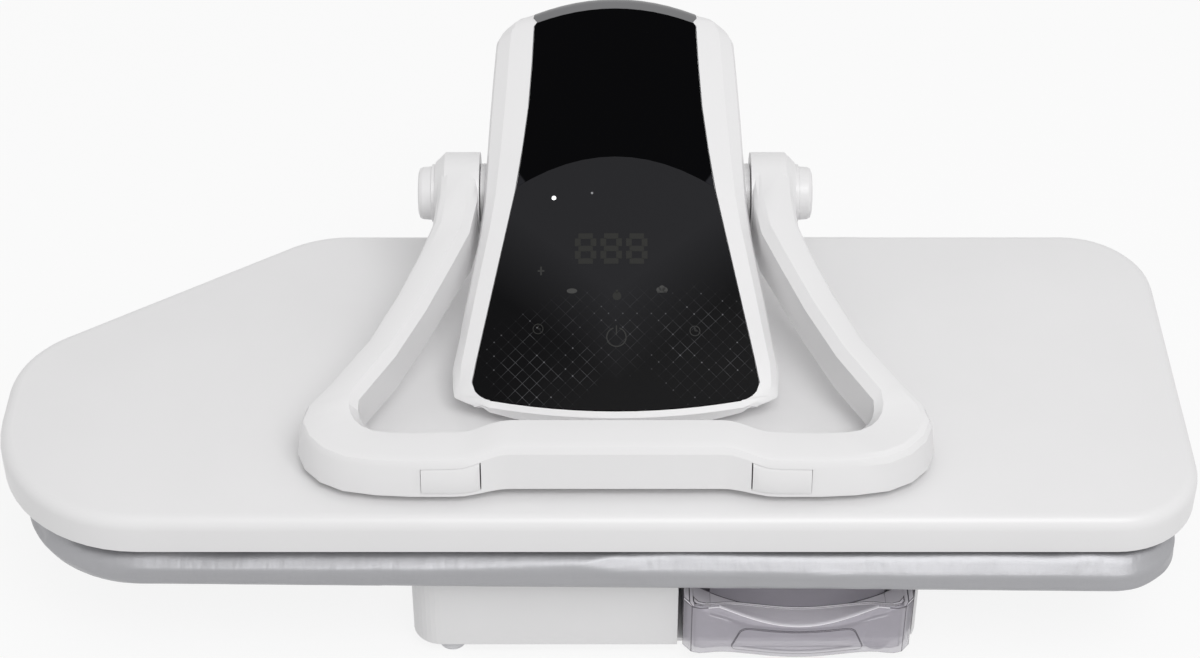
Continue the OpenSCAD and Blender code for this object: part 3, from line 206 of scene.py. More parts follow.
def fibre(name, colour, size, depth):
    """Matted fibre, in short crossing strands."""
    f = Finish(name)
    strands = f.cloud(1.0, 4.0, 0.65, f.stretched((size, size * 0.22, size)))
    tangle = f.cloud(1.0, 4.0, 0.65, f.stretched((size * 0.2, size, size)))
    mat = strands * 0.5 + tangle * 0.5
    f.set(Base_Color=f.blend(mat, tint(colour, 0.72), tint(colour, 1.15)), Roughness=0.9 + (mat - 0.5) * 0.1,
          Specular_IOR_Level=0.15)
    f.bump(mat, depth * MM)
    return f.material


def rubber(name, colour, rough=0.62):
    """Soft rubber with bloom on it."""
    f = Finish(name)
    skin = f.cloud(900.0, 2.0)
    bloom = f.cloud(45.0, 3.0, 0.6)
    f.set(Base_Color=f.blend(bloom, tint(colour, 0.8), tint(colour, 1.5)),
          Roughness=rough + (bloom - 0.5) * 0.2, Specular_IOR_Level=0.35)
    f.bump(skin, 0.03 * MM)
    return f.material


def circuit(name):
    """Lacquered board with tracks, pads and dark parts."""
    f = Finish(name)
    x, y, z = f.axes()
    along = y + z
    track = f.step(((x * 900.0).sine() * (along * 700.0 + (x * 130.0).sine() * 2.0).sine()).size(), 0.25, 0.32)
    pad = f.step(f.cells(260.0), 0.16, 0.12)
    lacquer = f.blend(track, (0.012, 0.075, 0.03, 1), (0.02, 0.13, 0.05, 1))
    f.set(Base_Color=f.blend(pad, lacquer, (0.55, 0.52, 0.46, 1)), Roughness=0.32 + track * 0.1,
          Metallic=pad * 0.8)
    f.bump(track + pad, 0.03 * MM)
    return f.material


def silver_cloth(name):
    """Metallised cotton: plain weave with a dull silver face."""
    f = Finish(name)
    x, y, z = f.axes()
    warp = (x * (math.tau / (0.9 * MM))).sine()
    weft = ((y + z) * (math.tau / (0.9 * MM))).sine()
    weave = (warp * weft) * 0.5 + 0.5
    slub = f.cloud(1.0, 3.0, 0.6, f.stretched((60.0, 900.0, 900.0)))
    worn = f.cloud(22.0, 3.0, 0.55)
    rumple = f.cloud(1.0, 2.0, 0.5, f.stretched((110.0, 40.0, 60.0)))
    face = f.blend(worn, (0.335, 0.335, 0.35, 1), (0.39, 0.39, 0.405, 1))
    f.set(Base_Color=f.blend(weave * 0.30 + slub * 0.25, face, (0.46, 0.46, 0.48, 1)),
          Metallic=0.55 + (worn - 0.5) * 0.2, Roughness=0.40 + (weave - 0.5) * 0.08 + (worn - 0.5) * 0.10)
    f.bump(weave * 0.06 + slub * 0.05 + rumple, 0.55 * MM)
    return f.material


def clear_tank(name, colour, dense):
    """Tinted clear plastic of the water tank: thin where seen square on, denser at its edges, where its colour
    is also darkened as painted shade for the dark lines refraction draws there.
    """
    f = Finish(name)
    scuff = f.cloud(1.0, 3.0, 0.6, f.stretched((120.0, 500.0, 500.0)))
    drift = f.cloud(20.0, 2.0)
    edge = f.node("ShaderNodeLayerWeight", None, {"Blend": 0.30}, "Facing")
    body = f.blend(drift, tint(colour, 0.95), tint(colour, 1.05))
    # painted shade: the colour darkens towards the edges as the surface turns away from the view
    f.set(Base_Color=f.blend(edge ** 2.0, body, tint(colour, 0.35)), Roughness=0.07 + (scuff - 0.5) * 0.05,
          Alpha=edge * edge * (0.9 - dense) + dense + (drift - 0.5) * 0.05)
    f.bump(drift, 0.10 * MM)
    return f.material


# The control panel: across from its middle, up its slope from its foot
PANEL_MID = 15.0
PANEL_FOOT = Vector((0.0, -95.75, 159.0))
PANEL_LONG = 297.5
TILT = math.radians(32.56)
UP_SLOPE = Vector((0.0, math.cos(TILT), math.sin(TILT)))
OFF_FACE = Vector((0.0, -math.sin(TILT), math.cos(TILT)))


def panel_axes(f):
    x, y, z = f.axes()
    along = (y - PANEL_FOOT.y * MM) * math.cos(TILT) + (z - PANEL_FOOT.z * MM) * math.sin(TILT)
    return (x - PANEL_MID * MM) / MM, along / MM


def patch_at(across, along, at, reach):
    """1 in the middle of an oval patch of the panel, 0 outside it."""
    u = (across - at[0]) / reach[0]
    v = (along - at[1]) / reach[1]
    return 1 - (u * u + v * v) ** 0.5


def gloss_panel(name, colour, rough, specular):
    """Gloss black panel, a little lighter in the corners where it meets the lens."""
    f = Finish(name)
    across, along = panel_axes(f)
    corner = f.step(7.0 - (across.size() - 67.5).size() - (along - 163.0).size() * 0.7, 0.0, 1.5)
    ripple = f.cloud(12.0, 1.0)
    f.set(Base_Color=f.blend(corner, tint(colour), (0.020, 0.020, 0.023, 1)),
          Roughness=rough + (ripple - 0.5) * 0.03, Specular_IOR_Level=specular)
    f.bump(ripple, 0.02 * MM)
    return f.material


def lens_panel(name, dark, light, rough, specular):
    """Smoked lens: lighter above the middle as a painted reflection, with a fine printed lattice, clearest in
    its lower corners.
    """
    f = Finish(name)
    across, along = panel_axes(f)
    # painted reflection: the lens colour is made lighter above its middle, and a little rougher there
    glow = f.step(along - across.size() * 0.8, 18.0, 84.0)
    pitch = 6.9
    one = ((across + along) * (math.sqrt(0.5) / pitch)).part() - 0.5
    two = ((across - along) * (math.sqrt(0.5) / pitch)).part() - 0.5
    line = 1 - f.step(one.size().least(two.size()), 0.012, 0.034)
    spot = 1 - f.step((one * one + two * two) ** 0.5, 0.04, 0.09)
    broken = f.step(f.cloud(46.0, 2.0), 0.50, 0.60)
    picked = f.step(f.cloud(85.0, 1.0), 0.54, 0.62)
    left = f.step(patch_at(across, along, (-50.0, 34.0), (44.0, 40.0)), 0.0, 0.35)
    right = f.step(patch_at(across, along, (60.0, 46.0), (42.0, 46.0)), 0.0, 0.35)
    middle = f.step(patch_at(across, along, (4.0, 56.0), (74.0, 34.0)), 0.0, 0.5) * 0.5
    lattice = (line * (0.03 + broken * 0.15)).most(spot * (0.08 + picked * 0.42))
    print_mask = left.most(right).most(middle) * lattice
    smoke = f.blend(glow, tint(dark), tint(light))
    f.set(Base_Color=f.blend(print_mask, smoke, (0.30, 0.30, 0.32, 1)), Roughness=rough + glow * 0.04,
          Specular_IOR_Level=specular)
    f.bump(f.cloud(12.0, 1.0), 0.02 * MM)
    return f.material


def sign_print(name, colour, glow=0.0):
    """Screen-printed ink on the panel."""
    f = Finish(name)
    ink = f.cloud(1800.0, 2.0)
    f.set(Base_Color=f.blend(ink, tint(colour, 0.85), tint(colour, 1.1)), Roughness=0.5 + (ink - 0.5) * 0.1,
          Specular_IOR_Level=0.1)
    if glow:
        f.set(Emission_Color=f.blend(ink, tint(colour, 0.95), tint(colour)), Emission_Strength=glow)
    return f.material


WHITE = (0.79, 0.785, 0.79)
# painted shade: a dark copy of the clear finish for the tank's rounded edges
TANK_EDGE_SHADE = clear_tank("tank_edge", (0.13, 0.12, 0.14), 0.80)
# painted highlight: a bright copy of the clear finish for the front edge of the finger pull
TANK_GLINT_PAINTED = clear_tank("tank_glint_painted_highlight", (0.93, 0.92, 0.95), 0.85)
# painted light: a lighter, denser copy of the clear finish for the lid and the finger pull's floor and ends,
# which the board shades
TANK_PAINTED_LIGHT = clear_tank("tank_clear_painted_light", (0.93, 0.90, 0.96), 0.74)
# painted shade: dark grey gloss for the skin over the head's rolled top edge
TOP_EDGE_SHADE = moulded("top_edge_painted_shade", (0.15, 0.15, 0.155), 0.18, 0.5, 0.002, 0.02)
FINISHES = {
    "shell_white": moulded("shell_white_satin", WHITE, 0.34),
    "trim_white": moulded("trim_white_satin", (0.78, 0.775, 0.78), 0.34, 0.4),
    "panel_black": gloss_panel("panel_black_gloss", (0.0018, 0.0018, 0.0022), 0.12, 0.015),
    "lens_grey": lens_panel("lens_grey_gloss", (0.0055, 0.0055, 0.006), (0.021, 0.021, 0.023), 0.16, 0.02),
    "sole_alloy": metal("sole_alloy_brushed", (0.62, 0.62, 0.64), 0.32, (12.0, 700.0, 700.0)),
    "cast_alloy": cast("chamber_alloy_cast", (0.56, 0.56, 0.58), 0.46),
    "dark_steel": metal("steel_dark", (0.16, 0.16, 0.17), 0.42, (300.0, 300.0, 300.0)),
    "bright_steel": metal("steel_ground", (0.62, 0.61, 0.60), 0.22, (30.0, 1200.0, 1200.0)),
    "frame_steel": metal("steel_plated", (0.50, 0.51, 0.53), 0.38, (90.0, 90.0, 500.0)),
    "pan_steel": metal("pan_steel_rolled", (0.52, 0.53, 0.54), 0.40, (25.0, 600.0, 600.0)),
    "felt": fibre("pad_felt", (0.62, 0.58, 0.50), 900.0, 0.25),
    "silver_cloth": silver_cloth("cover_silver_weave"),
    "mineral_wool": fibre("mat_wool", (0.66, 0.62, 0.52), 600.0, 0.5),
    "rubber": rubber("gland_rubber", (0.035, 0.035, 0.037)),
    "foot_rubber": moulded("foot_rubber_pale", (0.70, 0.70, 0.72), 0.60, 0.8, 0.012, 0.03, 0.3),
    "hose": rubber("hose_silicone", (0.42, 0.42, 0.41), 0.5),
    "dark_plastic": moulded("plastic_dark", (0.03, 0.03, 0.032), 0.5, 0.6, 0.012, 0.1),
    "circuit": circuit("board_lacquer"),
    "clear_tank": clear_tank("tank_clear", (0.68, 0.65, 0.72), 0.36),
    "plug_grey": moulded("plug_grey_soft", (0.30, 0.30, 0.32), 0.55, 0.7, 0.012, 0.05),
    "bush_plastic": moulded("bush_nylon", (0.58, 0.56, 0.50), 0.45, 0.8, 0.010, 0.05),
}


# Pieces
def piece_of(mesh_or_bmesh, name, finish, body):
    """A finished object at the origin, riding on its body."""
    mesh = mesh_or_bmesh
    if isinstance(mesh_or_bmesh, bmesh.types.BMesh):
        mesh = bpy.data.meshes.new(name)
        mesh_or_bmesh.to_mesh(mesh)
        mesh_or_bmesh.free()
    mesh.materials.clear()
    mesh.materials.append(finish)
    made = bpy.data.objects.new(name, mesh)
    bpy.context.scene.collection.objects.link(made)
    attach(made, body)
    return made


def soften(mesh, sharp):
    """Smooth shading, with edges past the angle kept crisp."""
    for name in ("custom_normal", "sharp_edge", "sharp_face"):
        if name in mesh.attributes:
            mesh.attributes.remove(mesh.attributes[name])
    for face in mesh.polygons:
        face.use_smooth = True
    mesh.set_sharp_from_angle(angle=math.radians(sharp))


def joined_copy(node, name, sharp=30.0):
    """A joined-up, softly shaded copy of a solid that stands for it."""
    source = NODES[node]
    slot = source.data.materials[0].name
    bm = bmesh.new()
    bm.from_mesh(source.data)
    bmesh.ops.remove_doubles(bm, verts=bm.verts, dist=0.002 * MM)
    made = piece_of(bm, name, FINISHES[slot], source["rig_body"])
    soften(made.data, sharp)
    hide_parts(node)
    return made


SMOOTHED = {
    "shoe_cover": ("plate_cover", 40.0),
    "head_shell": ("head_hood", 26.0),
    "control_lens": ("panel_lens", 30.0),
    "top_panel": ("panel_top", 30.0),
    "handle_shell": ("handle_bow", 26.0),
    "handle_cover": ("handle_floor", 30.0),
    "steam_button_left": ("button_left", 30.0),
    "steam_button_right": ("button_right", 30.0),
    "lift_springs": ("spring_coils", 50.0),
}
SMOOTH = {node: joined_copy(node, *how) for node, how in SMOOTHED.items()}


def flat_chamfer(made):
    """Draws the two narrow facets along each top edge of the handle into one flat chamfer."""
    bm = bmesh.new()
    bm.from_mesh(made.data)
    moves = []
    for vert in bm.verts:
        above, below = [], []
        for edge in vert.link_edges:
            step = (edge.other_vert(vert).co - vert.co) / MM
            flat = math.hypot(step.x, step.y)
            if 1.4 < step.z < 2.2 and 3.4 < flat < 5.0:
                above.append((flat, step))
            if -4.7 < step.z < -3.7 and flat < 2.4:
                below.append((flat, step))
        if above and below:
            rise = min(above, key=lambda a: a[0])[1]
            fall = min(below, key=lambda a: a[0])[1]
            moves.append((vert, (rise + fall) * 0.5 * MM))
    for vert, move in moves:
        vert.co += move
    bm.to_mesh(made.data)
    bm.free()
    soften(made.data, 24.0)


def open_gap(made, side, gap=0.5):
    """Draws one end of a button in, so that its gap in the bar reads as a thin dark line."""
    end = max(v.co.x * side for v in made.data.vertices)
    for vert in made.data.vertices:
        if vert.co.x * side > end - 0.8 * MM:
            vert.co.x -= gap * side * MM


def clear_edges(node, name, round_off=0.45):
    """A clear moulding whose edges are rounded off and given a dark finish: painted shade for the dark lines
    that refraction draws along polished edges.
    """
    made = joined_copy(node, name)
    bm = bmesh.new()
    bm.from_mesh(made.data)
    bmesh.ops.dissolve_limit(bm, angle_limit=math.radians(1.0), verts=bm.verts, edges=bm.edges)
    crisp = [e for e in bm.edges if len(e.link_faces) == 2 and e.calc_face_angle() > math.radians(30.0)]
    rounds = bmesh.ops.bevel(bm, geom=crisp, offset=round_off * MM, affect="EDGES", segments=2, profile=0.5,
                             material=-1, clamp_overlap=False)
    for face in rounds["faces"]:
        face.material_index = 1
    bm.to_mesh(made.data)
    bm.free()
    # painted shade along the rounded edges
    made.data.materials.append(TANK_EDGE_SHADE)
    soften(made.data, 40.0)
    return made


# The tank's finger pull, in millimetres: a trough round a long axis, cut into the front of the tank
TANK_MID = 139.0
PULL_HALF = 63.0
PULL_FRONT, PULL_BACK = -178.4, -161.8
PULL_AXIS_Z = 155.94
PULL_RADIUS = 120.14
PULL_WALL = 2.5
PULL_GAP = (59.8, 72.7)


def pull_looks(made):
    """The finger pull's floor in the lighter, denser clear finish, painted light where the board shades it, and
    a painted highlight along its front edge.
    """
    made.data.materials.append(TANK_PAINTED_LIGHT)
    made.data.materials.append(TANK_GLINT_PAINTED)
    for face in made.data.polygons:
        x, y, z = face.center / MM
        if abs(x - TANK_MID) < PULL_HALF and y < PULL_BACK + 2.8 and z > 33.0:
            # painted light on the pull's floor
            if face.material_index == 0 and face.normal.z > 0.2:
                face.material_index = 2
            # painted highlight along the pull's front edge
            elif face.material_index == 1 and y < -176.0 and z > 42.0:
                face.material_index = 3


flat_chamfer(SMOOTH["handle_shell"])
open_gap(SMOOTH["steam_button_left"], 1)
open_gap(SMOOTH["steam_button_right"], -1)
pull_looks(clear_edges("tank_body", "tank_box"))
# The lid takes the lighter clear finish: painted light under the board's shade.
clear_edges("tank_lid", "tank_cover").data.materials[0] = TANK_PAINTED_LIGHT


def pull_ends():
    """Closes the tank's finger pull at both ends, along the curve of its floor."""
    bm = bmesh.new()
    inner, outer = PULL_GAP
    for side in (-1, 1):
        rim = []
        for radius, steps in ((PULL_RADIUS, range(9)), (PULL_RADIUS + PULL_WALL, range(8, -1, -1))):
            for i in steps:
                reach = inner + (outer - inner) * i / 8
                drop = math.sqrt(radius * radius - reach * reach)
                rim.append(bm.verts.new(Vector((TANK_MID + side * reach, PULL_FRONT, PULL_AXIS_Z - drop)) * MM))
        grown = bmesh.ops.extrude_face_region(bm, geom=[bm.faces.new(rim)], use_keep_orig=True)["geom"]
        bmesh.ops.translate(bm, vec=(0, (PULL_BACK - PULL_FRONT) * MM, 0),
                            verts=[g for g in grown if isinstance(g, bmesh.types.BMVert)])
    bmesh.ops.recalc_face_normals(bm, faces=bm.faces)
    # The pull's ends take the lighter clear finish: painted light under the board's shade.
    soften(piece_of(bm, "tank_pull_ends", TANK_PAINTED_LIGHT, "tank").data, 30.0)


pull_ends()


def crisp_rim(made, angle):
    """Keeps the rim's facets crisp along the slope of the panel."""
    bm = bmesh.new()
    bm.from_mesh(made.data)
    crisp = [e.index for e in bm.edges
             if len(e.link_faces) == 2 and e.calc_face_angle() > math.radians(angle)
             and abs((e.verts[1].co - e.verts[0].co).normalized().dot(UP_SLOPE)) > 0.75]
    bm.free()
    for index in crisp:
        made.data.edges[index].use_edge_sharp = True


def top_edge_shade(made):
    """A thin dark grey skin laid over the rolled top edge of the head, above the panel: painted shade where
    that edge turns up and away from the light.
    """
    bm = bmesh.new()
    bm.from_mesh(made.data)
    top = PANEL_FOOT + UP_SLOPE * PANEL_LONG

    def past_panel(spot):
        across = abs(spot.x / MM - PANEL_MID)
        sweep = min(1.0, across / 57.0) ** 2
        return (across < 58.0 and spot.y / MM > top.y - 6.9 * sweep - 0.3
                and spot.z / MM > top.z - 9.3 * sweep - 9.0)

    spare = [f for f in bm.faces if f.normal.z < 0.2 or not all(past_panel(v.co) for v in f.verts)]
    bmesh.ops.delete(bm, geom=spare, context="FACES")
    for vert in bm.verts:
        sweep = min(1.0, abs(vert.co.x / MM - PANEL_MID) / 57.0) ** 2
        vert.co += vert.normal * 0.30 * MM
        if vert.co.y / MM < top.y - 6.9 * sweep + 1.0:
            vert.co += Vector((0.0, -1.13, -0.41)) * MM
    bmesh.ops.solidify(bm, geom=bm.faces, thickness=0.20 * MM)
    bmesh.ops.recalc_face_normals(bm, faces=bm.faces)
    wrap = piece_of(bm, "top_edge_shade", TOP_EDGE_SHADE, "arm")
    soften(wrap.data, 50.0)
    return wrap


crisp_rim(SMOOTH["head_shell"], 15.0)
top_edge_shade(SMOOTH["head_shell"])

# Padded board
BOARD_PLAN = [
    (-390.5, -186.75, 89.5),
    (390.5, -195.25, 44.5),
    (390.5, 105.75, 44.5),
    (-201.2, 105.75, 64.5),
    (-390.5, -23.9, 54.5),
]
BOARD_LOW, BOARD_HIGH = 84.9, 112.4
PAN_TOP = 89.2
BOARD_MID = Vector((0.0, -45.0, 0.0))
HEM = 15.0
CLOTH_TOP = 112.9
SHOULDER = 105.5
CREASE_HIGH, CREASE_LOW = 111.5, 100.0
VOXEL = 5.5


def rounded_plan(bm, corners, z, steps=16):
    """A face on the plan's corners, each rounded to its radius."""
    spots = [bm.verts.new((x * MM, y * MM, z * MM)) for x, y, _ in corners]
    bm.faces.new(spots)
    for i, (spot, corner) in enumerate(zip(spots, corners)):
        before = Vector(corners[i - 1][:2]) - Vector(corner[:2])
        after = Vector(corners[(i + 1) % len(corners)][:2]) - Vector(corner[:2])
        half = before.angle(after) / 2
        bmesh.ops.bevel(bm, geom=[spot], offset=corner[2] / math.tan(half) * MM, offset_type="OFFSET",
                        affect="VERTICES", segments=steps, profile=0.5, material=-1)
    bm.faces.ensure_lookup_table()
    return bm.faces[0]


def board_blank():
    bm = bmesh.new()
    face = rounded_plan(bm, BOARD_PLAN, BOARD_LOW)
    if face.normal.z > 0:
        face.normal_flip()
    grown = bmesh.ops.extrude_face_region(bm, geom=[face])["geom"]
    bmesh.ops.translate(bm, vec=(0, 0, (BOARD_HIGH - BOARD_LOW) * MM),
                        verts=[g for g in grown if isinstance(g, bmesh.types.BMVert)])
    bmesh.ops.recalc_face_normals(bm, faces=bm.faces)
    rim = [e for e in bm.edges if all(v.co.z > (BOARD_HIGH - 1) * MM for v in e.verts)]
    bmesh.ops.bevel(bm, geom=rim, offset=11 * MM, affect="EDGES", segments=6, profile=0.5, material=-1)
    hem = [e for e in bm.edges if all(v.co.z < (BOARD_LOW + 1) * MM for v in e.verts)]
    bmesh.ops.bevel(bm, geom=hem, offset=3 * MM, affect="EDGES", segments=3, profile=0.5, material=-1)
    return bm


def puffed(made, frames=20, pressure=4.0, cap=5.0):
    """Blows the pad up as cloth, with its floor held, and keeps each point within the cap."""
    rest = [v.co.copy() for v in made.data.vertices]
    held = made.vertex_groups.new(name="held")
    low = (BOARD_LOW + 3) * MM
    held.add([i for i, p in enumerate(rest) if p.z < low], 1.0, "ADD")
    cloth = made.modifiers.new("fill", "CLOTH")
    cloth.settings.vertex_group_mass = "held"
    cloth.settings.use_pressure = True
    cloth.settings.uniform_pressure_force = pressure
    cloth.settings.effector_weights.gravity = 0
    cloth.settings.tension_stiffness = 40
    cloth.settings.compression_stiffness = 40
    cloth.settings.bending_stiffness = 2
    cloth.point_cache.frame_end = frames
    scene = bpy.context.scene
    for number in range(1, frames + 1):
        scene.frame_set(number)
    shaped = made.evaluated_get(bpy.context.evaluated_depsgraph_get())
    after = [v.co.copy() for v in shaped.data.vertices]
    made.modifiers.remove(cloth)
    made.vertex_groups.remove(held)
    for vert, old, new in zip(made.data.vertices, rest, after):
        move = new - old
        if move.length > cap * MM:
            move *= cap * MM / move.length
        vert.co = old + move
    scene.frame_set(1)


def ease(value, low, high):
    t = min(1.0, max(0.0, (value - low) / (high - low)))
    return t * t * (3 - 2 * t)


def tailored(made):
    """Draws the cover tight: flat under the plate, creased along the front right, small pulls at the hem.

    Gives back the points of its shoulder."""
    walls = BVHTree.FromPolygons(*wall_of_plan())
    normals = [vert.normal.copy() for vert in made.data.vertices]
    shoulder = []
    for vert, normal in zip(made.data.vertices, normals):
        x, y, z = vert.co / MM
        near, away, _, inside = walls.find_nearest(Vector((x, y, 0.0)))
        z = min(z, CLOTH_TOP)
        if z < BOARD_LOW + 2.0 and inside > HEM:
            vert.co.z = PAN_TOP * MM
            continue
        if away.dot(near - BOARD_MID) < 0:
            away = -away
        depth = (near - Vector((x, y, 0.0))).dot(away)
        nose = ease(-x, 290.0, 375.0)
        fill = (1.6 + (5.4 - 5.0 * nose) * ease(z, 85.0, 97.0)) * (1 - ease(inside, 12.0, 60.0))
        side = 1 - ease(y, -130.0, 10.0)
        right = ease(x, -120.0, 60.0) * side
        z -= 3.4 * (1 - right) * ease(z, 99.0, 110.0) * (1 - ease(depth, 7.0, 26.0))
        if z > BOARD_LOW + 2.0:
            crease = CREASE_HIGH - (CREASE_HIGH - CREASE_LOW) * right
            needed = max(0.0, z - crease) - 1.5
            fill -= max(0.0, needed - depth + fill) * ease(x, -140.0, -60.0) * side
        if depth < 8.0:
            free = ease(z, 88.0, 95.0)
            tuck = 1.8 - (4.0 - 2.0 * nose) * ease(z, 84.0, 91.0)
            fill = fill * free + (depth - tuck) * (1 - free)
        if z > SHOULDER and depth - fill > 6.0:
            shoulder.append(vert.index)
        x += away.x * fill
        y += away.y * fill
        pull = noise.noise((x * 0.030, y * 0.030, z * 0.08)) * 0.55
        hem = ease(100.0 - z, 0.0, 14.0)
        pull += math.sin(x * 0.16 + y * 0.13 + 2.4 * noise.noise((x * 0.015, y * 0.015, 0.0))) * 0.35 * hem
        out = Vector((normal.x, normal.y, 0.0)) * pull
        vert.co = Vector((x + out.x, y + out.y, z)) * MM
    return shoulder


def eased_top(made, shoulder, rounds=14):
    """Evens out the shoulder that lies under the plate."""
    bm = bmesh.new()
    bm.from_mesh(made.data)
    bm.verts.ensure_lookup_table()
    top = [bm.verts[index] for index in shoulder]
    for _ in range(rounds):
        bmesh.ops.smooth_vert(bm, verts=top, factor=0.5, use_axis_x=True, use_axis_y=True, use_axis_z=True)
    bm.to_mesh(made.data)
    bm.free()


def wall_of_plan():
    """The plan's edge as a low wall, in millimetres, to measure how far inside a point lies."""
    bm = bmesh.new()
    rounded_plan(bm, BOARD_PLAN, 0.0, 48)
    bmesh.ops.scale(bm, vec=(1 / MM, 1 / MM, 1 / MM), verts=bm.verts)
    rise = bmesh.ops.extrude_edge_only(bm, edges=bm.edges)["geom"]
    bmesh.ops.translate(bm, vec=(0, 0, 1), verts=[g for g in rise if isinstance(g, bmesh.types.BMVert)])
    bmesh.ops.delete(bm, geom=[f for f in bm.faces if len(f.verts) > 4], context="FACES_ONLY")
    spots = [v.co.copy() for v in bm.verts]
    bm.verts.index_update()
    faces = [[v.index for v in f.verts] for f in bm.faces]
    bm.free()
    return spots, faces


def padded_board():
    bm = board_blank()
    made = piece_of(bm, "board_cushion", FINISHES["silver_cloth"], "base")
    remesh = made.modifiers.new("even", "REMESH")
    remesh.mode = "VOXEL"
    remesh.voxel_size = VOXEL * MM
    bpy.context.view_layer.update()
    even = bpy.data.meshes.new_from_object(made.evaluated_get(bpy.context.evaluated_depsgraph_get()))
    made.modifiers.remove(remesh)
    made.data = even
    puffed(made)
    fine = made.modifiers.new("soft", "SUBSURF")
    fine.levels = fine.render_levels = 1
    bpy.context.view_layer.update()
    soft = bpy.data.meshes.new_from_object(made.evaluated_get(bpy.context.evaluated_depsgraph_get()))
    made.modifiers.remove(fine)
    made.data = soft
    eased_top(made, tailored(made))
    for face in made.data.polygons:
        face.use_smooth = True
    made.data.materials.clear()
    made.data.materials.append(FINISHES["silver_cloth"])
    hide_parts("board_cover", "board_pad")
    return made


board = padded_board()

# Signs on the panel
SIGN_LOW, SIGN_HIGH = -0.06, 0.10
INKS = {
    "bright": sign_print("ink_bright", (0.30, 0.30, 0.31)),
    "middle": sign_print("ink_middle", (0.055, 0.055, 0.054)),
    "soft": sign_print("ink_soft", (0.034, 0.034, 0.033)),
    "faint": sign_print("ink_faint", (0.024, 0.024, 0.0225)),
    "lamp": sign_print("lamp_white", (0.9, 0.9, 0.92), 0.8),
}


def face_tree(made):
    bm = bmesh.new()
    bm.from_mesh(made.data)
    tree = BVHTree.FromBMesh(bm)
    bm.free()
    return tree


def bar(bm, at, size, turn=0.0):
    """A flat printed bar, in millimetres on the sign's own plane."""
    place = (Matrix.Translation((at[0], at[1], (SIGN_LOW + SIGN_HIGH) / 2)) @ Matrix.Rotation(turn, 4, "Z")
             @ Matrix.Diagonal((size[0], size[1], SIGN_HIGH - SIGN_LOW, 1.0)))
    bmesh.ops.create_cube(bm, size=1.0, matrix=place)


def disc(bm, at, radius, squash=1.0):
    place = (Matrix.Translation((at[0], at[1], (SIGN_LOW + SIGN_HIGH) / 2))
             @ Matrix.Diagonal((1.0, squash, 1.0, 1.0)))
    bmesh.ops.create_cone(bm, cap_ends=True, segments=28, radius1=radius, radius2=radius,
                          depth=SIGN_HIGH - SIGN_LOW, matrix=place)


def hoop(bm, at, radius, width, start=0.0, sweep=math.tau):
    """A printed ring, or an arc of one, spun from its section."""
    section = [bm.verts.new((radius + a * width / 2, 0.0, z))
               for a, z in ((-1, SIGN_LOW), (1, SIGN_LOW), (1, SIGN_HIGH), (-1, SIGN_HIGH))]
    edges = [bm.edges.new((section[i], section[(i + 1) % 4])) for i in range(4)]
    whole = sweep > math.tau - 0.01
    before = set(bm.verts) - set(section)
    bmesh.ops.spin(bm, geom=section + edges, cent=(0, 0, 0), axis=(0, 0, 1), angle=sweep,
                   steps=40, use_merge=whole)
    spun = [v for v in bm.verts if v not in before]
    if not whole:
        open_edges = [e for e in bm.edges if e.is_boundary and e.verts[0] in spun]
        bmesh.ops.holes_fill(bm, edges=open_edges, sides=4)
    bmesh.ops.rotate(bm, verts=spun, cent=(0, 0, 0), matrix=Matrix.Rotation(start, 3, "Z"))
    bmesh.ops.translate(bm, verts=spun, vec=(at[0], at[1], 0.0))


def digit(bm):
    high, wide, thick = 18.0, 14.8, 4.0
    for v in (-high / 2, 0.0, high / 2):
        bar(bm, (0.0, v), (wide - thick - 0.8, thick))
    for u in (-wide / 2 + thick / 2, wide / 2 - thick / 2):
        for v in (-high / 4, high / 4):
            bar(bm, (u, v), (thick, high / 2 - thick + 0.6))


def plus(bm):
    bar(bm, (0, 0), (4.6, 1.2))
    bar(bm, (0, 1.9), (1.2, 2.4))
    bar(bm, (0, -1.9), (1.2, 2.4))


def pill(bm):
    disc(bm, (0, 0), 3.6, 0.5)


def drop(bm):
    disc(bm, (0, -0.6), 3.0)
    bar(bm, (0, 2.6), (1.6, 2.4))


def cloud(bm):
    disc(bm, (-2.2, 0.2), 1.7)
    disc(bm, (2.0, 0.1), 1.9)
    disc(bm, (0, 1.2), 2.1)
    bar(bm, (0, -1.4), (6.4, 0.9))


def power(bm):
    hoop(bm, (0, 0), 6.6, 0.8, math.radians(108), math.radians(324))
    bar(bm, (0, 5.0), (0.8, 6.2))


def clock(bm):
    hoop(bm, (0, 0), 3.4, 0.6)
    bar(bm, (0, 1.1), (0.6, 2.6))
    bar(bm, (0.9, 0), (1.8, 0.6))


def lamp(bm):
    disc(bm, (0, 0), 1.55)


def small_lamp(bm):
    disc(bm, (0, 0), 0.8)


SIGNS = [
    ("run_lamp", lamp, "lamp", -42.6, 152.2),
    ("ready_lamp", small_lamp, "bright", -16.2, 155.4),
    ("digit_left", digit, "faint", -20.6, 114.8),
    ("digit_middle", digit, "faint", -3.0, 114.8),
    ("digit_right", digit, "faint", 14.6, 114.8),
    ("plus_sign", plus, "soft", -51.2, 99.1),
    ("mode_lamp", pill, "middle", -29.9, 84.4),
    ("water_sign", drop, "faint", 0.9, 81.3),
    ("steam_sign", cloud, "middle", 31.8, 85.1),
    ("power_sign", power, "soft", 0.5, 51.6),
    ("timer_sign_left", clock, "faint", -53.0, 57.7),
    ("timer_sign_right", clock, "soft", 54.1, 56.3),
]


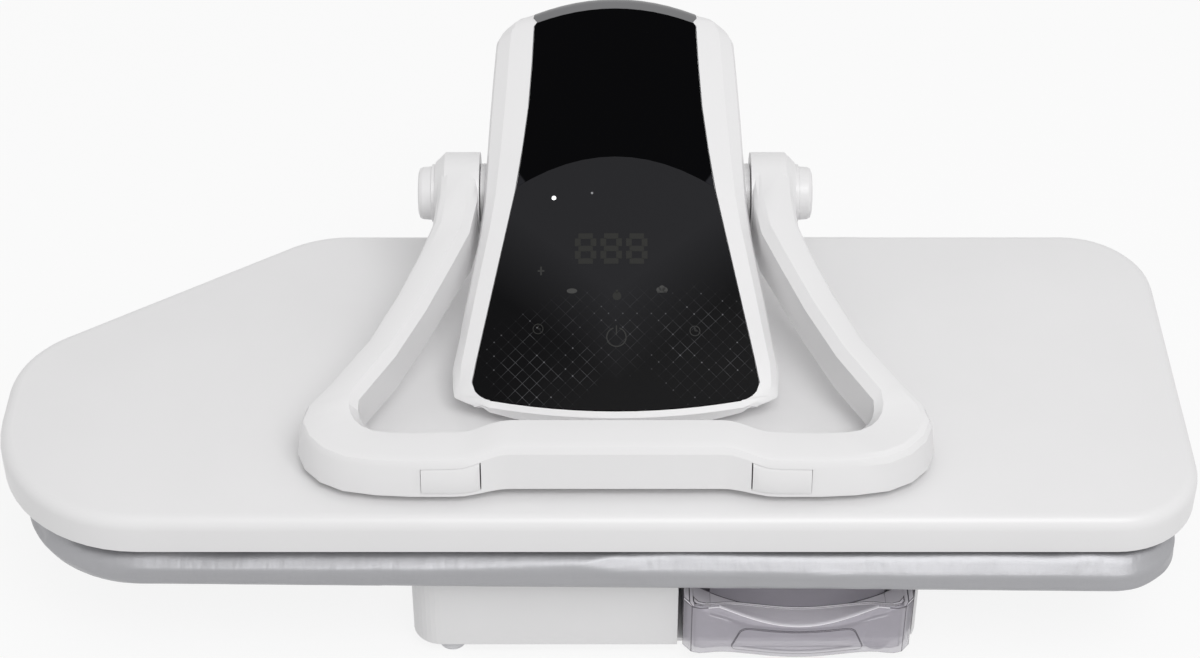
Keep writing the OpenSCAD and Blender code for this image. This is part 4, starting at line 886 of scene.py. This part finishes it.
def seated(bm, hit, normal):
    """Moves a sign from its own plane, in millimetres, onto a face."""
    across = Vector((1, 0, 0))
    across = (across - normal * across.dot(normal)).normalized()
    up = normal.cross(across)
    turn = Matrix((across, up, normal)).transposed().to_4x4()
    bmesh.ops.transform(bm, verts=bm.verts, matrix=Matrix.Translation(hit) @ turn @ Matrix.Scale(MM, 4))
    bmesh.ops.recalc_face_normals(bm, faces=bm.faces)


lens_faces = face_tree(SMOOTH["control_lens"])
for name, draw, ink, across, along in SIGNS:
    over = (Vector((PANEL_MID + across, PANEL_FOOT.y, PANEL_FOOT.z)) + UP_SLOPE * along + OFF_FACE * 40) * MM
    hit, normal, _, _ = lens_faces.ray_cast(over, -OFF_FACE)
    bm = bmesh.new()
    draw(bm)
    seated(bm, hit, normal)
    piece_of(bm, name, INKS[ink], "arm")


# Finishes of the solids that stay
for node, solid in NODES.items():
    solid.material_slots[0].material = FINISHES[solid.data.materials[0].name]


# Studio
AMBIENT = 0.62
LAMPS = [
    ("key_softbox", (0.55, -1.5, 2.5), (0.0, 0.0, 0.1), 1.7, 1.4, 35.0),
]
CAMERA_SPOT = (0.0043, -1.42675, 1.3483)
CAMERA_TILT = math.radians(50.0)
CAMERA_LENS = 79.1


def studio():
    scene = bpy.context.scene
    scene.view_settings.view_transform = "Standard"
    world = bpy.data.worlds.new("studio")
    scene.world = world
    world.use_nodes = True
    tree = world.node_tree
    backdrop = tree.nodes["Background"]
    path = tree.nodes.new("ShaderNodeLightPath")
    seen = None
    for name in ("Is Camera Ray", "Is Glossy Ray", "Is Transmission Ray"):
        if seen is None:
            seen = path.outputs[name]
            continue
        either = tree.nodes.new("ShaderNodeMath")
        either.operation = "MAXIMUM"
        tree.links.new(seen, either.inputs[0])
        tree.links.new(path.outputs[name], either.inputs[1])
        seen = either.outputs[0]
    level = tree.nodes.new("ShaderNodeMapRange")
    level.inputs[3].default_value = AMBIENT
    level.inputs[4].default_value = 1.0
    tree.links.new(seen, level.inputs[0])
    backdrop.inputs[0].default_value = (1, 1, 1, 1)
    tree.links.new(level.outputs[0], backdrop.inputs[1])
    for name, spot, aim, width, height, power in LAMPS:
        lamp = bpy.data.lights.new(name, "AREA")
        lamp.shape = "RECTANGLE"
        lamp.size = width
        lamp.size_y = height
        lamp.energy = power
        holder = bpy.data.objects.new(name, lamp)
        holder.location = spot
        holder.rotation_euler = (Vector(aim) - Vector(spot)).to_track_quat("-Z", "Y").to_euler()
        scene.collection.objects.link(holder)


def floor():
    f = Finish("floor_paper")
    path = [f.node("ShaderNodeLightPath", out=name)
            for name in ("Is Camera Ray", "Is Glossy Ray", "Is Transmission Ray")]
    seen = path[0].most(path[1]).most(path[2])
    f.set(Base_Color=f.blend(f.cloud(3.0), (0.80, 0.80, 0.80, 1), (0.82, 0.82, 0.82, 1)), Roughness=0.9,
          Specular_IOR_Level=0.0)
    white = f.node("ShaderNodeEmission", None, {0: (1, 1, 1, 1), 1: 1.0})
    surface = f.node("ShaderNodeMixShader", None, {0: seen * 0.86})
    mixer = surface.socket.node
    f.tree.links.new(f.shader.outputs[0], mixer.inputs[1])
    f.tree.links.new(white.socket, mixer.inputs[2])
    f.tree.links.new(surface.socket, f.tree.nodes["Material Output"].inputs[0])
    bm = bmesh.new()
    bmesh.ops.create_grid(bm, x_segments=1, y_segments=1, size=6.0)
    mesh = bpy.data.meshes.new("floor")
    bm.to_mesh(mesh)
    bm.free()
    mesh.materials.append(f.material)
    sheet = bpy.data.objects.new("floor", mesh)
    bpy.context.scene.collection.objects.link(sheet)


def camera():
    view = bpy.data.cameras.new("view")
    view.sensor_width = 36.0
    view.sensor_fit = "HORIZONTAL"
    view.lens = CAMERA_LENS
    view.clip_end = 50.0
    holder = bpy.data.objects.new("view", view)
    holder.location = CAMERA_SPOT
    holder.rotation_euler = (CAMERA_TILT, 0.0, 0.0)
    bpy.context.scene.collection.objects.link(holder)
    bpy.context.scene.camera = holder


studio()
floor()
camera()
